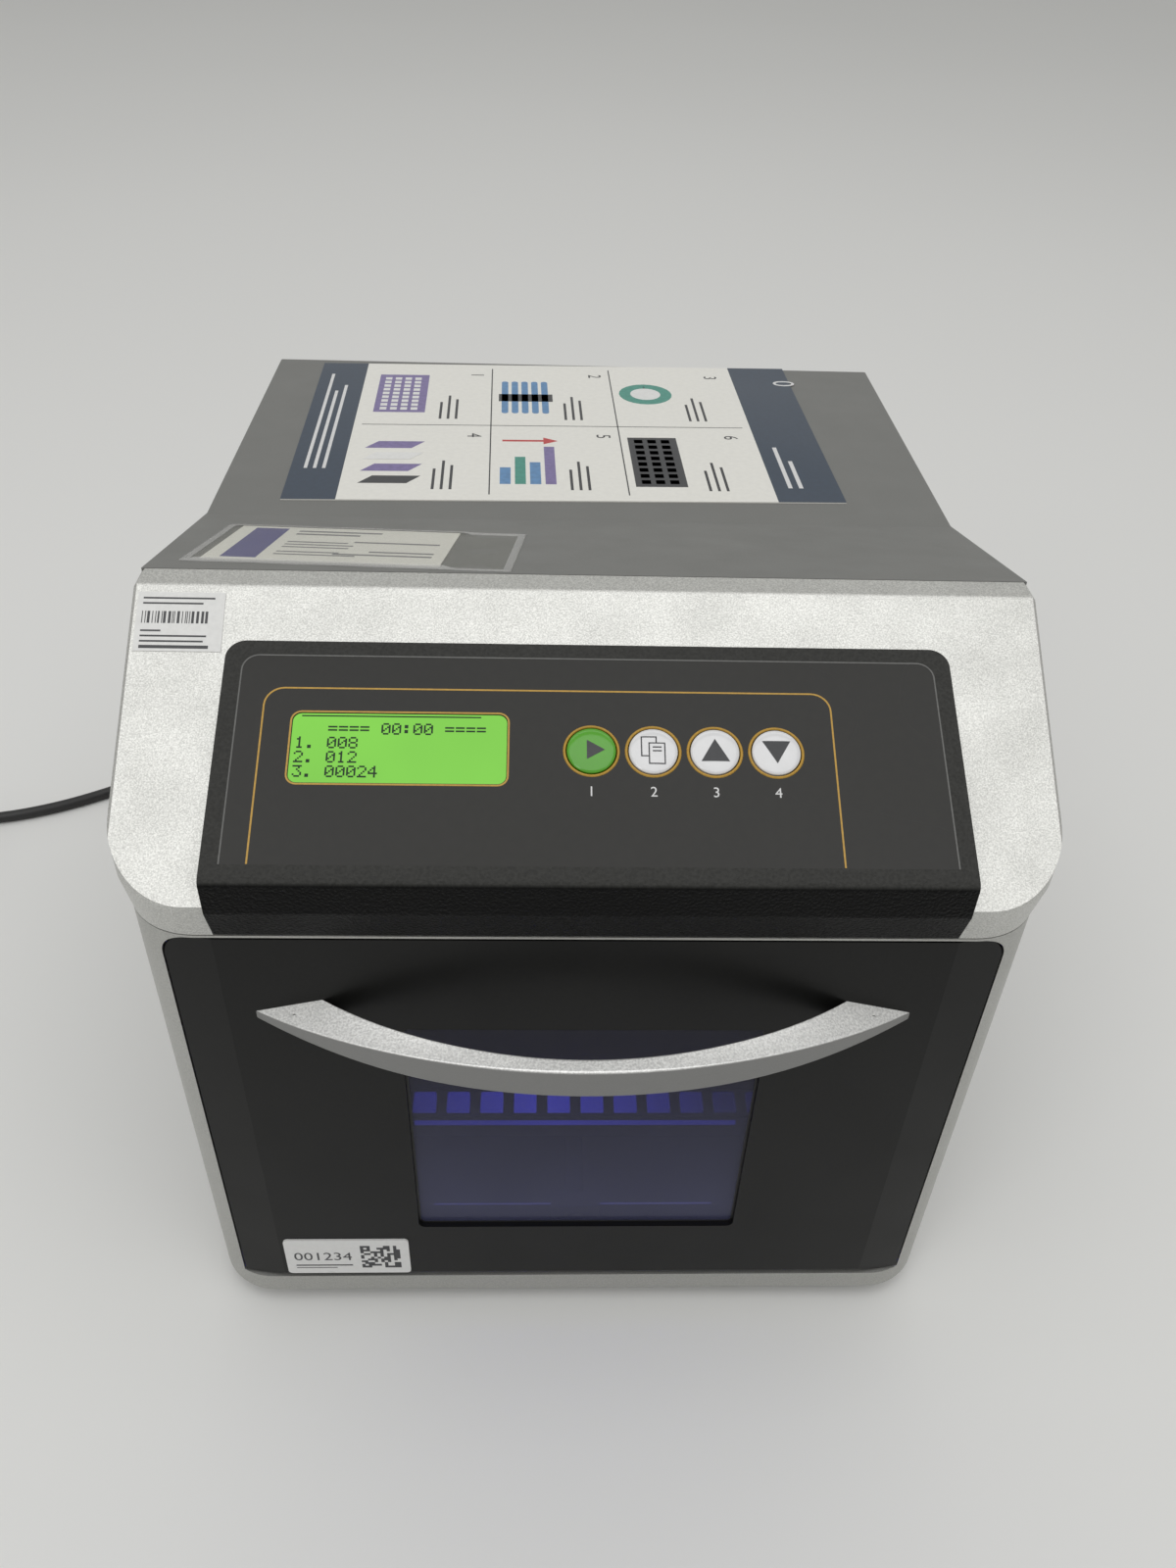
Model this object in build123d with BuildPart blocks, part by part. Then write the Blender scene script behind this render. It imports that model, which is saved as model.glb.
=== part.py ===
from build123d import *
import math
import os

os.makedirs("parts", exist_ok=True)

# A bench nucleic acid extractor: a box-shaped case with a sloping console on its hood, a drop-down
# door with a bow handle, and inside it a sliding sample platform under a row of magnet rods that
# run in plastic sleeves. Millimetres, +Z up, -Y to the front, origin on the table under the
# middle of the object. "Depth" is measured back from the flat front face of the door.

# ------------------------------------------------------------------ case
case_width = 325.0
case_height = 325.0
case_depth = 380.0
foot_height = 11.2
foot_radius = 13.0
foot_inset = 38.0
foot_taper = 8.0            # degrees
frame_depth = 40.0          # silver front frame, front to back
frame_corner = 27.0
frame_wall = 3.0
sill_top = 22.0
seam_height = 239.4         # joint between front frame and hood
seam_gap = 0.4
sheet = 1.2                 # folded steel covers
pan_sheet = 2.0
pan_flange = 14.0
pan_vent_long = 60.0        # air slots in the base pan
pan_vent_wide = 6.0
pan_vent_pitch = 14.0
pan_vent_count = 12
pan_vent_rear = 80.0        # from the slots' middle to the rear edge of the case
cover_clearance = 0.3
hood_wall = 2.5
hood_lean = 6.7             # how far the hood's lip stands in front of the door
hood_lip_height = 258.9
hood_corner = 28.0
hood_ridge_round = 2.5
hood_edge_bevel = 1.0       # depth of the bevel along the sides of the slope
slope_top_depth = 89.15
hood_depth = 100.4
hood_cover_gap = 0.4
kink_depth = 190.0
rear_drop = 22.8            # how far the cover falls from its ridge to its rear part
rear_height = case_height - rear_drop
rear_flush = 1.2            # how far the rear panel sits inside the cover's rear edge
rear_sheet = 2.0
serial_reach = 6.0          # how far the serial connector's shell stands out of the rear panel

# ------------------------------------------------------------------ console
console_side = 35.0         # from the side of the case to the console
console_half_width = case_width / 2 - console_side
console_nose_depth = -8.5
console_nose_height = 271.5
console_top_depth = 71.0
console_top_rise = 0.75      # key face over the hood's slope at its upper edge
console_chin_height = 257.6
console_foot_height = 243.0
console_foot_depth = -3.5
console_corner = 7.0
console_nose_round = 3.5
overlay_side = 6.0          # from the side of the console to the overlay
overlay_half_width = console_half_width - overlay_side
overlay_low = 6.4           # distances up the key face from its nose
overlay_margin = 5.5        # from the overlay to the upper edge of the key face
overlay_corner = 6.0
overlay_thick = 0.6
lcd_side = 25.5             # from the side of the console to the display
lcd_wide = 73.0
lcd_left = -console_half_width + lcd_side
lcd_right = lcd_left + lcd_wide
lcd_low = 35.6
lcd_high = 61.7
lcd_corner = 3.0
lens_thick = 1.2
lcd_margin = 3.5
key_first = -0.3
key_pitch = 21.1
key_up = 48.3
key_radius = 8.4
key_gap = 0.35
key_proud = 1.3
key_depth = 5.2
key_travel = 0.5
key_names = ["run_button", "menu_button", "up_button", "down_button"]
board_thick = 1.6
board_depth = 8.0
board_side = 14.0           # from the side of the console to the key board
board_low = 14.0            # distances up the key face
board_high = 66.0
board_clearance = 1.0       # between the key board and the pocket round it
hood_window_deep = 30.0     # depth of the cut through the hood behind the console
switch_gap = 0.2
pocket_ceiling = 4.6        # depth of the pocket over the key board
standoff_radius = 3.0
switch_side = 6.0

# ------------------------------------------------------------------ door
door_side = 14.5            # from the side of the case to the door
door_facet_width = 18.0
door_half_width = case_width / 2 - door_side
door_flat_half = door_half_width - door_facet_width
door_gap = 1.0
door_bottom = 23.3
door_top = 237.2
door_top_corner = 10.0
door_facet_depth = 3.0
door_skin = 2.5
door_return = 9.0
window_half_width = 68.2
window_bottom = 61.0
window_top = 190.5
window_corner = 3.0
window_margin = 6.0
window_thick = 3.0
hinge_depth = 5.0
hinge_height = 29.4
hinge_pin_radius = 1.25
running_gap = 0.05
lug_side = 2.0              # from the door's crease to the hinge lug
lug_wide = 14.0
lug_outer = door_flat_half - lug_side
lug_inner = lug_outer - lug_wide
lug_gap = 0.5
ear_width = 4.0
ear_reach = 4.4
lug_half_height = 2.1
lug_post_depth = 13.0
handle_reach = 32.6
handle_thick = 6.0
handle_side = 10.5          # from the door's crease to the tip of the handle
handle_foot_wide = 25.0
handle_foot_outer = door_flat_half - handle_side
handle_foot_inner = handle_foot_outer - handle_foot_wide
handle_bottom = 193.2
handle_top = 207.0
handle_crease = 206.4       # front edge of the top face at the middle
handle_crease_fall = 6.2    # how far that edge falls to the tips
handle_belly_rise = 4.0     # how far the underside rises to the tips
handle_round = 1.1
handle_sections = 9
handle_overrun = 1.16       # how far the bow is drawn past the door's face before it is trimmed
handle_screw_side = 15.0    # from the handle's tip to its screw
handle_screw_x = handle_foot_outer - handle_screw_side
handle_screw_height = (handle_bottom + handle_top) / 2 + 1
handle_screw_radius = 2.0
handle_screw_grip = 4.0
magnet_side = 12.0          # from the door's crease to the catch
magnet_x = door_flat_half - magnet_side
strike_size = 16.0
strike_thick = 1.0
strike_gap = 0.5
latch_drop = 2.0

# ------------------------------------------------------------------ chamber and mechanism
liner_side = 16.5           # from the side of the case to the chamber
liner_half_width = case_width / 2 - liner_side
liner_back = 200.0
liner_sheet = 1.5
liner_front = 14.0
liner_top = 222.0
platform_front = 43.0
platform_deep = 104.0
platform_side = 18.0        # from the chamber's side to the platform
platform_half_width = liner_half_width - platform_side
platform_top = 75.0
platform_thick = 9.0
position_count = 16
bar_half_width = platform_half_width - 2.0
row_margin = 10.5           # from the end of the row's bar to its last position
position_pitch = 2 * (bar_half_width - row_margin) / (position_count - 1)
position_side = 10.7
position_depth = 3.0
block_deep = 15.0
bay_wall = 4.0
pocket_depth = 6.0
rail_side = 30.0            # from the platform's side to its rail
rail_x = platform_half_width - rail_side
rail_width = 12.0
rail_front = 14.0
rail_back = 190.0
rail_height = 14.0
rail_base_height = 10.0
carriage_long = 28.0
carriage_wide = 27.0
carriage_gap = 0.3
screw_radius = 4.0
platform_screw_height = 45.0
motor_side = 42.0
motor_long = 34.0
motor_corner = 4.0
nut_radius = 8.0
nut_long = 16.0
bar_depth = 110.0           # row of sleeves, depth of its axis
bar_deep = 16.0
sleeve_radius = 4.0
sleeve_bore = 3.0
sleeve_tip = 122.0
magnet_radius = 2.5
rod_tip_gap = 1.5
plunger_height = 200.0      # underside of the sleeve carrier at rest
plunger_travel = 45.0
carrier_thick = 10.0
post_depth = 170.0          # depth of the guide rods and lead screws
guide_side = 21.0           # from the end of the row's bar to the guide rod
guide_x = bar_half_width - guide_side
guide_boss_high = 6.0
guide_radius = 5.0
plunger_screw_x = -60.0
magnet_screw_x = 60.0
z_plate_depth = 192.0
z_plate_thick = 5.0
bracket_thick = 6.0
low_bracket_height = 88.0
bracket_drop = 12.2         # from the cover's rear part down to the top bracket
top_bracket_height = rear_height - bracket_drop
magnet_rest_gap = 16.0      # from the magnet carrier at rest up to the top bracket
magnet_height = top_bracket_height - magnet_rest_gap - carrier_thick
bracket_reach = 17.0        # how far the brackets run past the guide rods
bracket_half_width = guide_x + bracket_reach
bracket_front = 148.0
lamp_depth = 30.0
lamp_drop = 8.0             # from the chamber's top edge down to the lamp's axis
lamp_height = liner_top - lamp_drop
lamp_radius = 8.0
lamp_side = 28.0            # from the chamber's side to the end of the glass
lamp_half_long = liner_half_width - lamp_side
lamp_holder_thick = 12.0

# ------------------------------------------------------------------ rear and electronics
fan_x = 80.0
fan_height = 200.0
fan_side = 60.0
fan_thick = 15.0
fan_bore = 28.0
fan_corner = 4.0
fan_hub = 13.0
fan_blades = 7
fan_tip_gap = 1.2
guard_wire = 1.8
guard_ring_pitch = 7.0
guard_ring_count = 4
guard_overlap = 2.0
inlet_x = -100.0
inlet_height = 60.0
inlet_flange_wide = 30.0
inlet_flange_high = 50.0
inlet_flange_thick = 2.0
inlet_deep = 22.0
socket_wide = 25.0
socket_high = 17.0
socket_deep = 16.0
pin_spots = ((-7.0, -2.0), (0.0, 2.0), (7.0, -2.0))
socket_drop = 11.0          # socket centre below the inlet's centre
rocker_wide = 12.0
rocker_high = 18.0
rocker_rise = 12.5
rocker_tilt = 10.0
serial_x = -30.0
cover_screw_side = 9.0      # from the case's side
cover_screw_low = 16.0
cover_screw_high = 14.0
cover_screw_radius = 3.6
cover_screw_head = 2.0
cover_screw_chamfer = 0.8
louvre_long = 26.0
louvre_high = 3.0
louvre_gap = 6.0
louvre_pitch = 9.0
louvre_columns = 3
louvre_rows = 6
inlet_flange_lap = 2.0      # lap of the flange over the panel
inlet_gap = 0.3
rocker_gap = 0.5
rocker_well_deep = 9.0
rocker_pivot_deep = 2.0
rocker_pivot_radius = 1.0
serial_flange = (30.8, 1.0, 12.6)
serial_body = (20.0, 8.0, 11.0)
serial_gap = 0.2
serial_shell = (17.0, 8.4, 80)
serial_height = 60.0
electronics_gap = 18.0      # from the lift frame's plate to the boards behind it
supply_left = -120.0
supply_wide = 100.0
supply_high = 38.0
supply_rear_gap = 31.8
main_board_left = 10.0
main_board_wide = 125.0
main_board_rear_gap = 41.8
main_board_rise = 7.8       # board over the base pan
board_post_inset = 5.0
board_post_radius = 3.0
board_chip_side = 22.0
board_chip_high = 3.0
board_chip_left = 30.0
board_chip_front = 40.0
capacitor_radius = 6.0
capacitor_high = 16.0
capacitor_pitch = 18.0
capacitor_count = 3
capacitor_front = 25.0
capacitor_side = 20.0
header_long = 70.0
header_deep = 8.0
header_high = 9.0
header_inset = 6.0

# ------------------------------------------------------------------ cord
cord_radius = 3.6
plug_insert = 15.0
plug_gap = 0.3
plug_wide = 27.0
plug_high = 20.0
plug_long = 26.0
relief_long = 22.0
relief_radius = 6.0
coil_middle = (-440.0, 298.0)   # x and depth
coil_outer = 47.0
coil_inner = 32.0
coil_height = 22.0
plug_body = (38.0, 26.0, 22.0)  # long, wide, high
blade_pitch = 12.7
cord_lie = 3.7              # height of the cord's axis where it lies on the table
cord_route = [              # x, depth, z, from the plug's strain relief to the coil
    (-100.0, 428.8, 49.0),
    (-100.0, 462.0, 49.0),
    (-116.0, 489.0, 38.0),
    (-146.0, 502.0, 17.0),
    (-186.0, 489.0, cord_lie),
    (-222.0, 457.0, cord_lie),
    (-251.0, 423.0, cord_lie),
    (-283.0, 390.0, cord_lie),
    (-317.7, 366.0, cord_lie),
    (-346.8, 350.5, cord_lie),
    (-379.0, 339.8, cord_lie),
    (-410.0, 337.5, cord_lie),
    (-439.0, 341.0, cord_lie),
]

# ------------------------------------------------------------------ cards and labels
label_thick = 0.3
asset_label_thick = 0.8
asset_label_wide = 54.5
asset_label_x = (-door_flat_half + 2, -door_flat_half + 2 + asset_label_wide)
asset_label_z = (26.0, 52.0)
check_label_x = (-case_width / 2 + 2.5, -case_width / 2 + 33)
check_label_up = (90.5, 113.0)  # distances up the hood's slope from its lip
name_card_size = (90.0, 55.5)
name_card_middle = (-case_width / 2 + 64.2, 137.6)
name_card_turn = -4.5
card_thick = 0.5
guide_card_size = (253.0, 169.0)
guide_card_middle = (-9.0, 293.0)
guide_card_turn = 1.5

# ------------------------------------------------------------------ worked out from the above
front_y = -(case_depth - rear_flush + serial_reach - handle_reach) / 2
panel_depth = case_depth - rear_flush
liner_floor = sill_top + liner_sheet
half_width = case_width / 2
slope = math.atan2(case_height - hood_lip_height, slope_top_depth + hood_lean)
cover_slope = math.atan2(case_height - rear_height, kink_depth - hood_depth)
hood_at_top = hood_lip_height + math.tan(slope) * (console_top_depth + hood_lean)
console_top_height = hood_at_top + console_top_rise
pitch = math.atan2(console_top_height - console_nose_height, console_top_depth - console_nose_depth)
console_long = (console_top_depth - console_nose_depth) / math.cos(pitch)
overlay_high = console_long - overlay_margin
travel_row = [(i - (position_count - 1) / 2) * position_pitch for i in range(position_count)]


def back(depth):
    """Y of the plane that lies depth behind the door's front face."""
    return front_y + depth


def block(x, depth, z, mode=Mode.ADD):
    """A box between pairs of limits: x, depth behind the door's face, and z."""
    with Locations(((x[0] + x[1]) / 2, back((depth[0] + depth[1]) / 2), (z[0] + z[1]) / 2)):
        Box(x[1] - x[0], depth[1] - depth[0], z[1] - z[0], mode=mode)


def rod(origin, direction, radius, length, mode=Mode.ADD):
    """A round bar from origin along direction; origin is (x, depth, z)."""
    start = Plane(origin=(origin[0], back(origin[1]), origin[2]), z_dir=direction)
    with Locations(start.location):
        Cylinder(radius, length, align=(Align.CENTER, Align.CENTER, Align.MIN), mode=mode)


def rear_plane(x, depth, z):
    """A plane square to Y that faces the rear, its own Y axis pointing up."""
    return Plane(origin=(x, back(depth), z), x_dir=(-1, 0, 0), z_dir=(0, 1, 0))


def case_plan(z, front, rear, inset):
    """Plan of the case at height z, with its two front corners rounded."""
    with BuildSketch(Plane.XY.offset(z)) as plan:
        with Locations((0, back((front + rear) / 2))):
            Rectangle(case_width - 2 * inset, rear - front)
        front_corners = plan.vertices().group_by(Axis.Y)[0]
        fillet(front_corners, radius=(hood_corner if z > seam_height else frame_corner) - inset)
    return plan.sketch


def side_profile(points):
    """A sketch on the middle plane from (depth, z) points, seen from the right-hand side."""
    with BuildSketch(Plane.YZ) as profile:
        with BuildLine():
            Polyline([(back(depth), z) for depth, z in points], close=True)
        make_face()
    return profile.sketch


key_face = Plane(
    origin=(0, back(console_nose_depth), console_nose_height),
    x_dir=(1, 0, 0),
    z_dir=(0, -math.sin(pitch), math.cos(pitch)),
)


def on_face(x, up, below=0.0):
    """A plane parallel to the key face, at x, up its slope, and below its surface."""
    return Plane(origin=key_face.from_local_coords((x, up, -below)), x_dir=(1, 0, 0), z_dir=key_face.z_dir)


# ------------------------------------------------------------------ base pan and feet
with BuildPart() as base_pan:
    pan_edge = half_width - sheet - cover_clearance
    block((-pan_edge, pan_edge), (frame_depth, panel_depth - rear_sheet),
          (foot_height, foot_height + pan_sheet))
    for side in (-1, 1):
        wall = sorted((side * pan_edge, side * (pan_edge - pan_sheet)))
        block(wall, (frame_depth, panel_depth - rear_sheet), (foot_height, foot_height + pan_flange))
    with Locations((0, back(case_depth - pan_vent_rear), foot_height + pan_sheet / 2)):
        with GridLocations(pan_vent_pitch, 0, pan_vent_count, 1):
            Box(pan_vent_wide, pan_vent_long, pan_sheet * 2, mode=Mode.SUBTRACT)
base_pan.part.label = "base_pan"
export_step(base_pan.part, "parts/base_pan.step")

foot_spots = [
    (side * (half_width - foot_inset), back(depth))
    for side in (-1, 1)
    for depth in (foot_inset + 20, case_depth - foot_inset)
]
with BuildPart() as rubber_feet:
    with BuildSketch(Plane.XY):
        with Locations(*foot_spots):
            Circle(foot_radius - 2)
    extrude(amount=foot_height, taper=-foot_taper)
rubber_feet.part.label = "rubber_feet"
export_step(rubber_feet.part, "parts/rubber_feet.step")

# ------------------------------------------------------------------ front frame
opening_half = door_half_width + door_gap
opening_top = door_top + 0.8
frame_top = seam_height - seam_gap
with BuildPart() as front_frame:
    extrude(case_plan(foot_height, 0, frame_depth, 0), amount=frame_top - foot_height)
    # door opening, open to the back
    with BuildSketch(Plane.XZ.offset(-back(-1))) as door_opening:
        with Locations((0, (sill_top + opening_top) / 2)):
            Rectangle(2 * opening_half, opening_top - sill_top)
        fillet(door_opening.vertices().group_by(Axis.Y)[-1], radius=door_top_corner + door_gap)
    extrude(amount=-(frame_depth + 2), mode=Mode.SUBTRACT)
    # hollow posts, open to the back
    for side in (-1, 1):
        post = sorted((side * (opening_half + frame_wall), side * (half_width - frame_wall)))
        block(post, (16, frame_depth + 1), (foot_height + 4, frame_top - 4), Mode.SUBTRACT)
    # header rail behind the door's top edge, for the catches and the lamp
    block((-opening_half, opening_half), (door_return + 6, frame_depth), (liner_top + 2, frame_top))
    block((-opening_half + 6, opening_half - 6), (door_return + 9, frame_depth + 1),
          (liner_top + 4, frame_top - 3), Mode.SUBTRACT)
    # hinge lugs on their posts
    for side in (-1, 1):
        lug = sorted((side * lug_inner, side * lug_outer))
        block(lug, (hinge_depth, lug_post_depth + 7),
              (hinge_height - lug_half_height, hinge_height + lug_half_height))
        block(lug, (lug_post_depth, lug_post_depth + 7), (sill_top - 1, hinge_height))
        rod((lug[0], hinge_depth, hinge_height), (1, 0, 0), lug_half_height, lug_outer - lug_inner)
        rod((lug[0] - 1, hinge_depth, hinge_height), (1, 0, 0),
            hinge_pin_radius + running_gap, lug_outer - lug_inner + 2, Mode.SUBTRACT)
front_frame.part.label = "front_frame"
export_step(front_frame.part, "parts/front_frame.step")


# ------------------------------------------------------------------ hood
def hood_form(inset, low, rear):
    """The hood's outer form, or, with an inset, the hollow inside it."""
    slope_plane = Plane(
        origin=(0, back(-hood_lean), hood_lip_height),
        z_dir=(0, -math.sin(slope), math.cos(slope)),
    ).offset(-inset)
    lip_plan = case_plan(hood_lip_height, inset - hood_lean, rear, inset)
    with BuildPart() as form:
        loft([case_plan(low, inset, rear, inset).face(), lip_plan.face()])
        extrude(lip_plan, amount=case_height - inset - hood_lip_height)
        split(bisect_by=slope_plane, keep=Keep.BOTTOM)
    return form.part


board_half_width = console_half_width - board_side
with BuildPart() as hood:
    add(hood_form(0, seam_height, hood_depth - hood_cover_gap))
    ridge = hood.edges().filter_by(Axis.X).group_by(Axis.Z)[-1].sort_by(Axis.Y)[0]
    fillet(ridge, radius=hood_ridge_round)
    # bevels where the slope and the top meet the sides
    for side in (-1, 1):
        for upright in (Vector(0, -math.sin(slope), math.cos(slope)), Vector(0, 0, 1)):
            outward = (Vector(side, 0, 0) + upright).normalized()
            corner = Vector(side * half_width, back(slope_top_depth), case_height)
            bevel = Plane(origin=corner - outward * hood_edge_bevel, z_dir=outward)
            split(bisect_by=bevel, keep=Keep.BOTTOM)
    add(hood_form(hood_wall, seam_height, hood_depth + 1), mode=Mode.SUBTRACT)
    # window in the slope for the console's boards
    with BuildSketch(on_face(0, (board_low + board_high) / 2, 0)):
        Rectangle(2 * (board_half_width + board_clearance), board_high - board_low + 2 * board_clearance)
    extrude(amount=-hood_window_deep, mode=Mode.SUBTRACT)
hood.part.label = "hood"
export_step(hood.part, "parts/hood.step")

# ------------------------------------------------------------------ top cover and rear panel
cover_outer = side_profile([
    (frame_depth + seam_gap, foot_height), (frame_depth + seam_gap, seam_height - seam_gap),
    (hood_depth, seam_height - seam_gap), (hood_depth, case_height), (kink_depth, rear_height),
    (case_depth, rear_height), (case_depth, foot_height),
])
cover_drop = sheet / math.cos(cover_slope)
cover_inner = side_profile([
    (frame_depth - 1, foot_height - 1), (frame_depth - 1, seam_height + 5),
    (hood_depth - 1, seam_height + 5), (hood_depth - 1, case_height + math.tan(cover_slope) - cover_drop),
    (kink_depth, rear_height - sheet), (case_depth + 1, rear_height - sheet),
    (case_depth + 1, foot_height - 1),
])
with BuildPart() as top_cover:
    extrude(cover_outer, amount=half_width, both=True)
    extrude(cover_inner, amount=half_width - sheet, both=True, mode=Mode.SUBTRACT)
    fillet(top_cover.edges().filter_by(Axis.Y).group_by(Axis.Z)[-1], radius=sheet * 0.8)
top_cover.part.label = "top_cover"
export_step(top_cover.part, "parts/top_cover.step")

with BuildPart() as rear_panel:
    panel_front = panel_depth - rear_sheet
    panel_half_width = half_width - sheet - cover_clearance
    block((-panel_half_width, panel_half_width), (panel_front, panel_depth),
          (foot_height + cover_clearance, rear_height - sheet - cover_clearance))
    rod((fan_x, panel_front - 1, fan_height), (0, 1, 0), fan_bore, rear_sheet + 2, Mode.SUBTRACT)
    opening_wide = inlet_flange_wide / 2 - inlet_flange_lap
    opening_high = inlet_flange_high / 2 - inlet_flange_lap
    block((inlet_x - opening_wide, inlet_x + opening_wide), (panel_front - 1, panel_depth + 1),
          (inlet_height - opening_high, inlet_height + opening_high), Mode.SUBTRACT)
    port_wide = serial_body[0] / 2 + serial_gap
    port_high = serial_body[2] / 2 + serial_gap
    block((serial_x - port_wide, serial_x + port_wide), (panel_front - 1, panel_depth + 1),
          (serial_height - port_high, serial_height + port_high), Mode.SUBTRACT)
    # louvre slots for the air that the fan draws through the case
    with Locations((-fan_x, back(panel_depth), fan_height)):
        with GridLocations(louvre_long + louvre_gap, 1, louvre_columns, 1):
            for row in range(louvre_rows):
                with Locations((0, 0, (row - (louvre_rows - 1) / 2) * louvre_pitch)):
                    Box(louvre_long, 3 * rear_sheet, louvre_high, mode=Mode.SUBTRACT)
rear_panel.part.label = "rear_panel"
export_step(rear_panel.part, "parts/rear_panel.step")

screw_columns = (-half_width + cover_screw_side, half_width - cover_screw_side)
screw_rows = (foot_height + cover_screw_low, rear_height - cover_screw_high)
with BuildPart() as cover_screws:
    for x in screw_columns:
        for z in screw_rows:
            rod((x, panel_depth, z), (0, 1, 0), cover_screw_radius, cover_screw_head)
    chamfer(cover_screws.edges().filter_by(GeomType.CIRCLE).group_by(Axis.Y)[-1], length=cover_screw_chamfer)
cover_screws.part.label = "cover_screws"
export_step(cover_screws.part, "parts/cover_screws.step")

# ------------------------------------------------------------------ console
lip_slope = hood_lean / (hood_lip_height - seam_height)
foot_back_depth = -lip_slope * (console_foot_height - seam_height)
console_profile = side_profile([
    (console_nose_depth, console_nose_height), (console_top_depth, console_top_height),
    (console_top_depth + 1.0, hood_at_top + math.tan(slope)), (-hood_lean, hood_lip_height),
    (foot_back_depth, console_foot_height), (console_foot_depth, console_foot_height),
    (console_nose_depth, console_chin_height),
])
key_spots = [(key_first + i * key_pitch, key_up) for i in range(len(key_names))]
lcd_middle = ((lcd_left + lcd_right) / 2, (lcd_low + lcd_high) / 2)
lcd_size = (lcd_right - lcd_left, lcd_high - lcd_low)
with BuildPart() as console_housing:
    extrude(console_profile, amount=console_half_width, both=True)
    # rounded corners, seen square to the key face
    with BuildSketch(on_face(0, 0, -5)) as console_plan:
        with Locations((0, console_long / 2)):
            Rectangle(2 * console_half_width, console_long)
        fillet(console_plan.vertices().group_by(Axis.Y)[-1], radius=console_corner)
        with Locations((0, -25)):
            Rectangle(2 * console_half_width, 50)
    extrude(amount=-60, mode=Mode.INTERSECT)
    nose = console_housing.edges().filter_by(Axis.X).filter_by_position(Axis.Y, back(console_nose_depth) - 0.1,
                                                                       back(console_nose_depth) + 0.1)
    fillet(nose, radius=console_nose_round)
    # recess for the printed overlay
    with BuildSketch(on_face(0, (overlay_low + overlay_high) / 2, 0)) as recess:
        Rectangle(2 * overlay_half_width, overlay_high - overlay_low)
        fillet(recess.vertices().group_by(Axis.Y)[-1], radius=overlay_corner)
    extrude(amount=-overlay_thick, mode=Mode.SUBTRACT)
    # pocket for the key board, with stand-offs that carry it
    with BuildSketch(on_face(0, (board_low + board_high) / 2, pocket_ceiling)):
        Rectangle(2 * (board_half_width + board_clearance), board_high - board_low + 2 * board_clearance)
    extrude(amount=-40, mode=Mode.SUBTRACT)
    with BuildSketch(on_face(0, 0, board_depth)):
        with Locations((-board_half_width + 5, board_low + 8), (board_half_width - 5, board_low + 8)):
            Circle(standoff_radius)
    extrude(amount=board_depth - pocket_ceiling + 1)
    # openings for the display and the keys
    with BuildSketch(on_face(*lcd_middle)):
        Rectangle(lcd_size[0] + 2 * lcd_margin + 0.4, lcd_size[1] + 2 * lcd_margin + 0.4)
    extrude(amount=-40, mode=Mode.SUBTRACT)
    with BuildSketch(key_face):
        with Locations(*key_spots):
            Circle(key_radius + key_gap)
    extrude(amount=-40, mode=Mode.SUBTRACT)
console_housing.part.label = "console_housing"
export_step(console_housing.part, "parts/console_housing.step")

with BuildPart() as keypad_overlay:
    with BuildSketch(on_face(0, (overlay_low + overlay_high) / 2, overlay_thick)) as sheet_plan:
        Rectangle(2 * overlay_half_width, overlay_high - overlay_low)
        fillet(sheet_plan.vertices().group_by(Axis.Y)[-1], radius=overlay_corner)
    extrude(amount=overlay_thick)
    with BuildSketch(on_face(lcd_middle[0], lcd_middle[1], -1)):
        RectangleRounded(lcd_size[0], lcd_size[1], lcd_corner)
    extrude(amount=-3, mode=Mode.SUBTRACT)
    with BuildSketch(key_face):
        with Locations(*key_spots):
            Circle(key_radius + key_gap)
    extrude(amount=-3, mode=Mode.SUBTRACT)
keypad_overlay.part.label = "keypad_overlay"
export_step(keypad_overlay.part, "parts/keypad_overlay.step")

lens_top = 0.3
with BuildPart() as lcd_lens:
    with BuildSketch(on_face(lcd_middle[0], lcd_middle[1], lens_top)):
        RectangleRounded(lcd_size[0], lcd_size[1], lcd_corner)
    extrude(amount=-(overlay_thick - lens_top))
    with BuildSketch(on_face(lcd_middle[0], lcd_middle[1], overlay_thick)):
        Rectangle(lcd_size[0] + 2 * lcd_margin, lcd_size[1] + 2 * lcd_margin)
    extrude(amount=-lens_thick)
lcd_lens.part.label = "lcd_lens"
export_step(lcd_lens.part, "parts/lcd_lens.step")

with BuildPart() as lcd_module:
    with BuildSketch(on_face(lcd_middle[0], lcd_middle[1], overlay_thick + lens_thick)):
        Rectangle(lcd_size[0] + 2 * lcd_margin, lcd_size[1] + 2 * lcd_margin)
    extrude(amount=-(board_depth - overlay_thick - lens_thick))
lcd_module.part.label = "lcd_module"
export_step(lcd_module.part, "parts/lcd_module.step")

switch_top = key_depth + key_travel + switch_gap
with BuildPart() as keypad_board:
    with BuildSketch(on_face(0, (board_low + board_high) / 2, board_depth)):
        Rectangle(2 * board_half_width, board_high - board_low)
    extrude(amount=-board_thick)
    with BuildSketch(on_face(0, 0, board_depth)):
        with Locations(*key_spots):
            Rectangle(switch_side, switch_side)
    extrude(amount=board_depth - switch_top - 0.8)
    with BuildSketch(on_face(0, 0, board_depth)):
        with Locations(*key_spots):
            Circle(1.7)
    extrude(amount=board_depth - switch_top)
keypad_board.part.label = "keypad_board"
export_step(keypad_board.part, "parts/keypad_board.step")

for key_name, (key_x, key_y) in zip(key_names, key_spots):
    with BuildPart() as key:
        with BuildSketch(on_face(key_x, key_y, key_depth)):
            Circle(key_radius)
        extrude(amount=key_depth + key_proud)
        key_rim = key.edges().filter_by(GeomType.CIRCLE).sort_by(Axis.Z)[-1]
        fillet(key_rim, radius=key_proud * 0.8)
    key.part.label = key_name
    export_step(key.part, f"parts/{key_name}.step")

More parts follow.
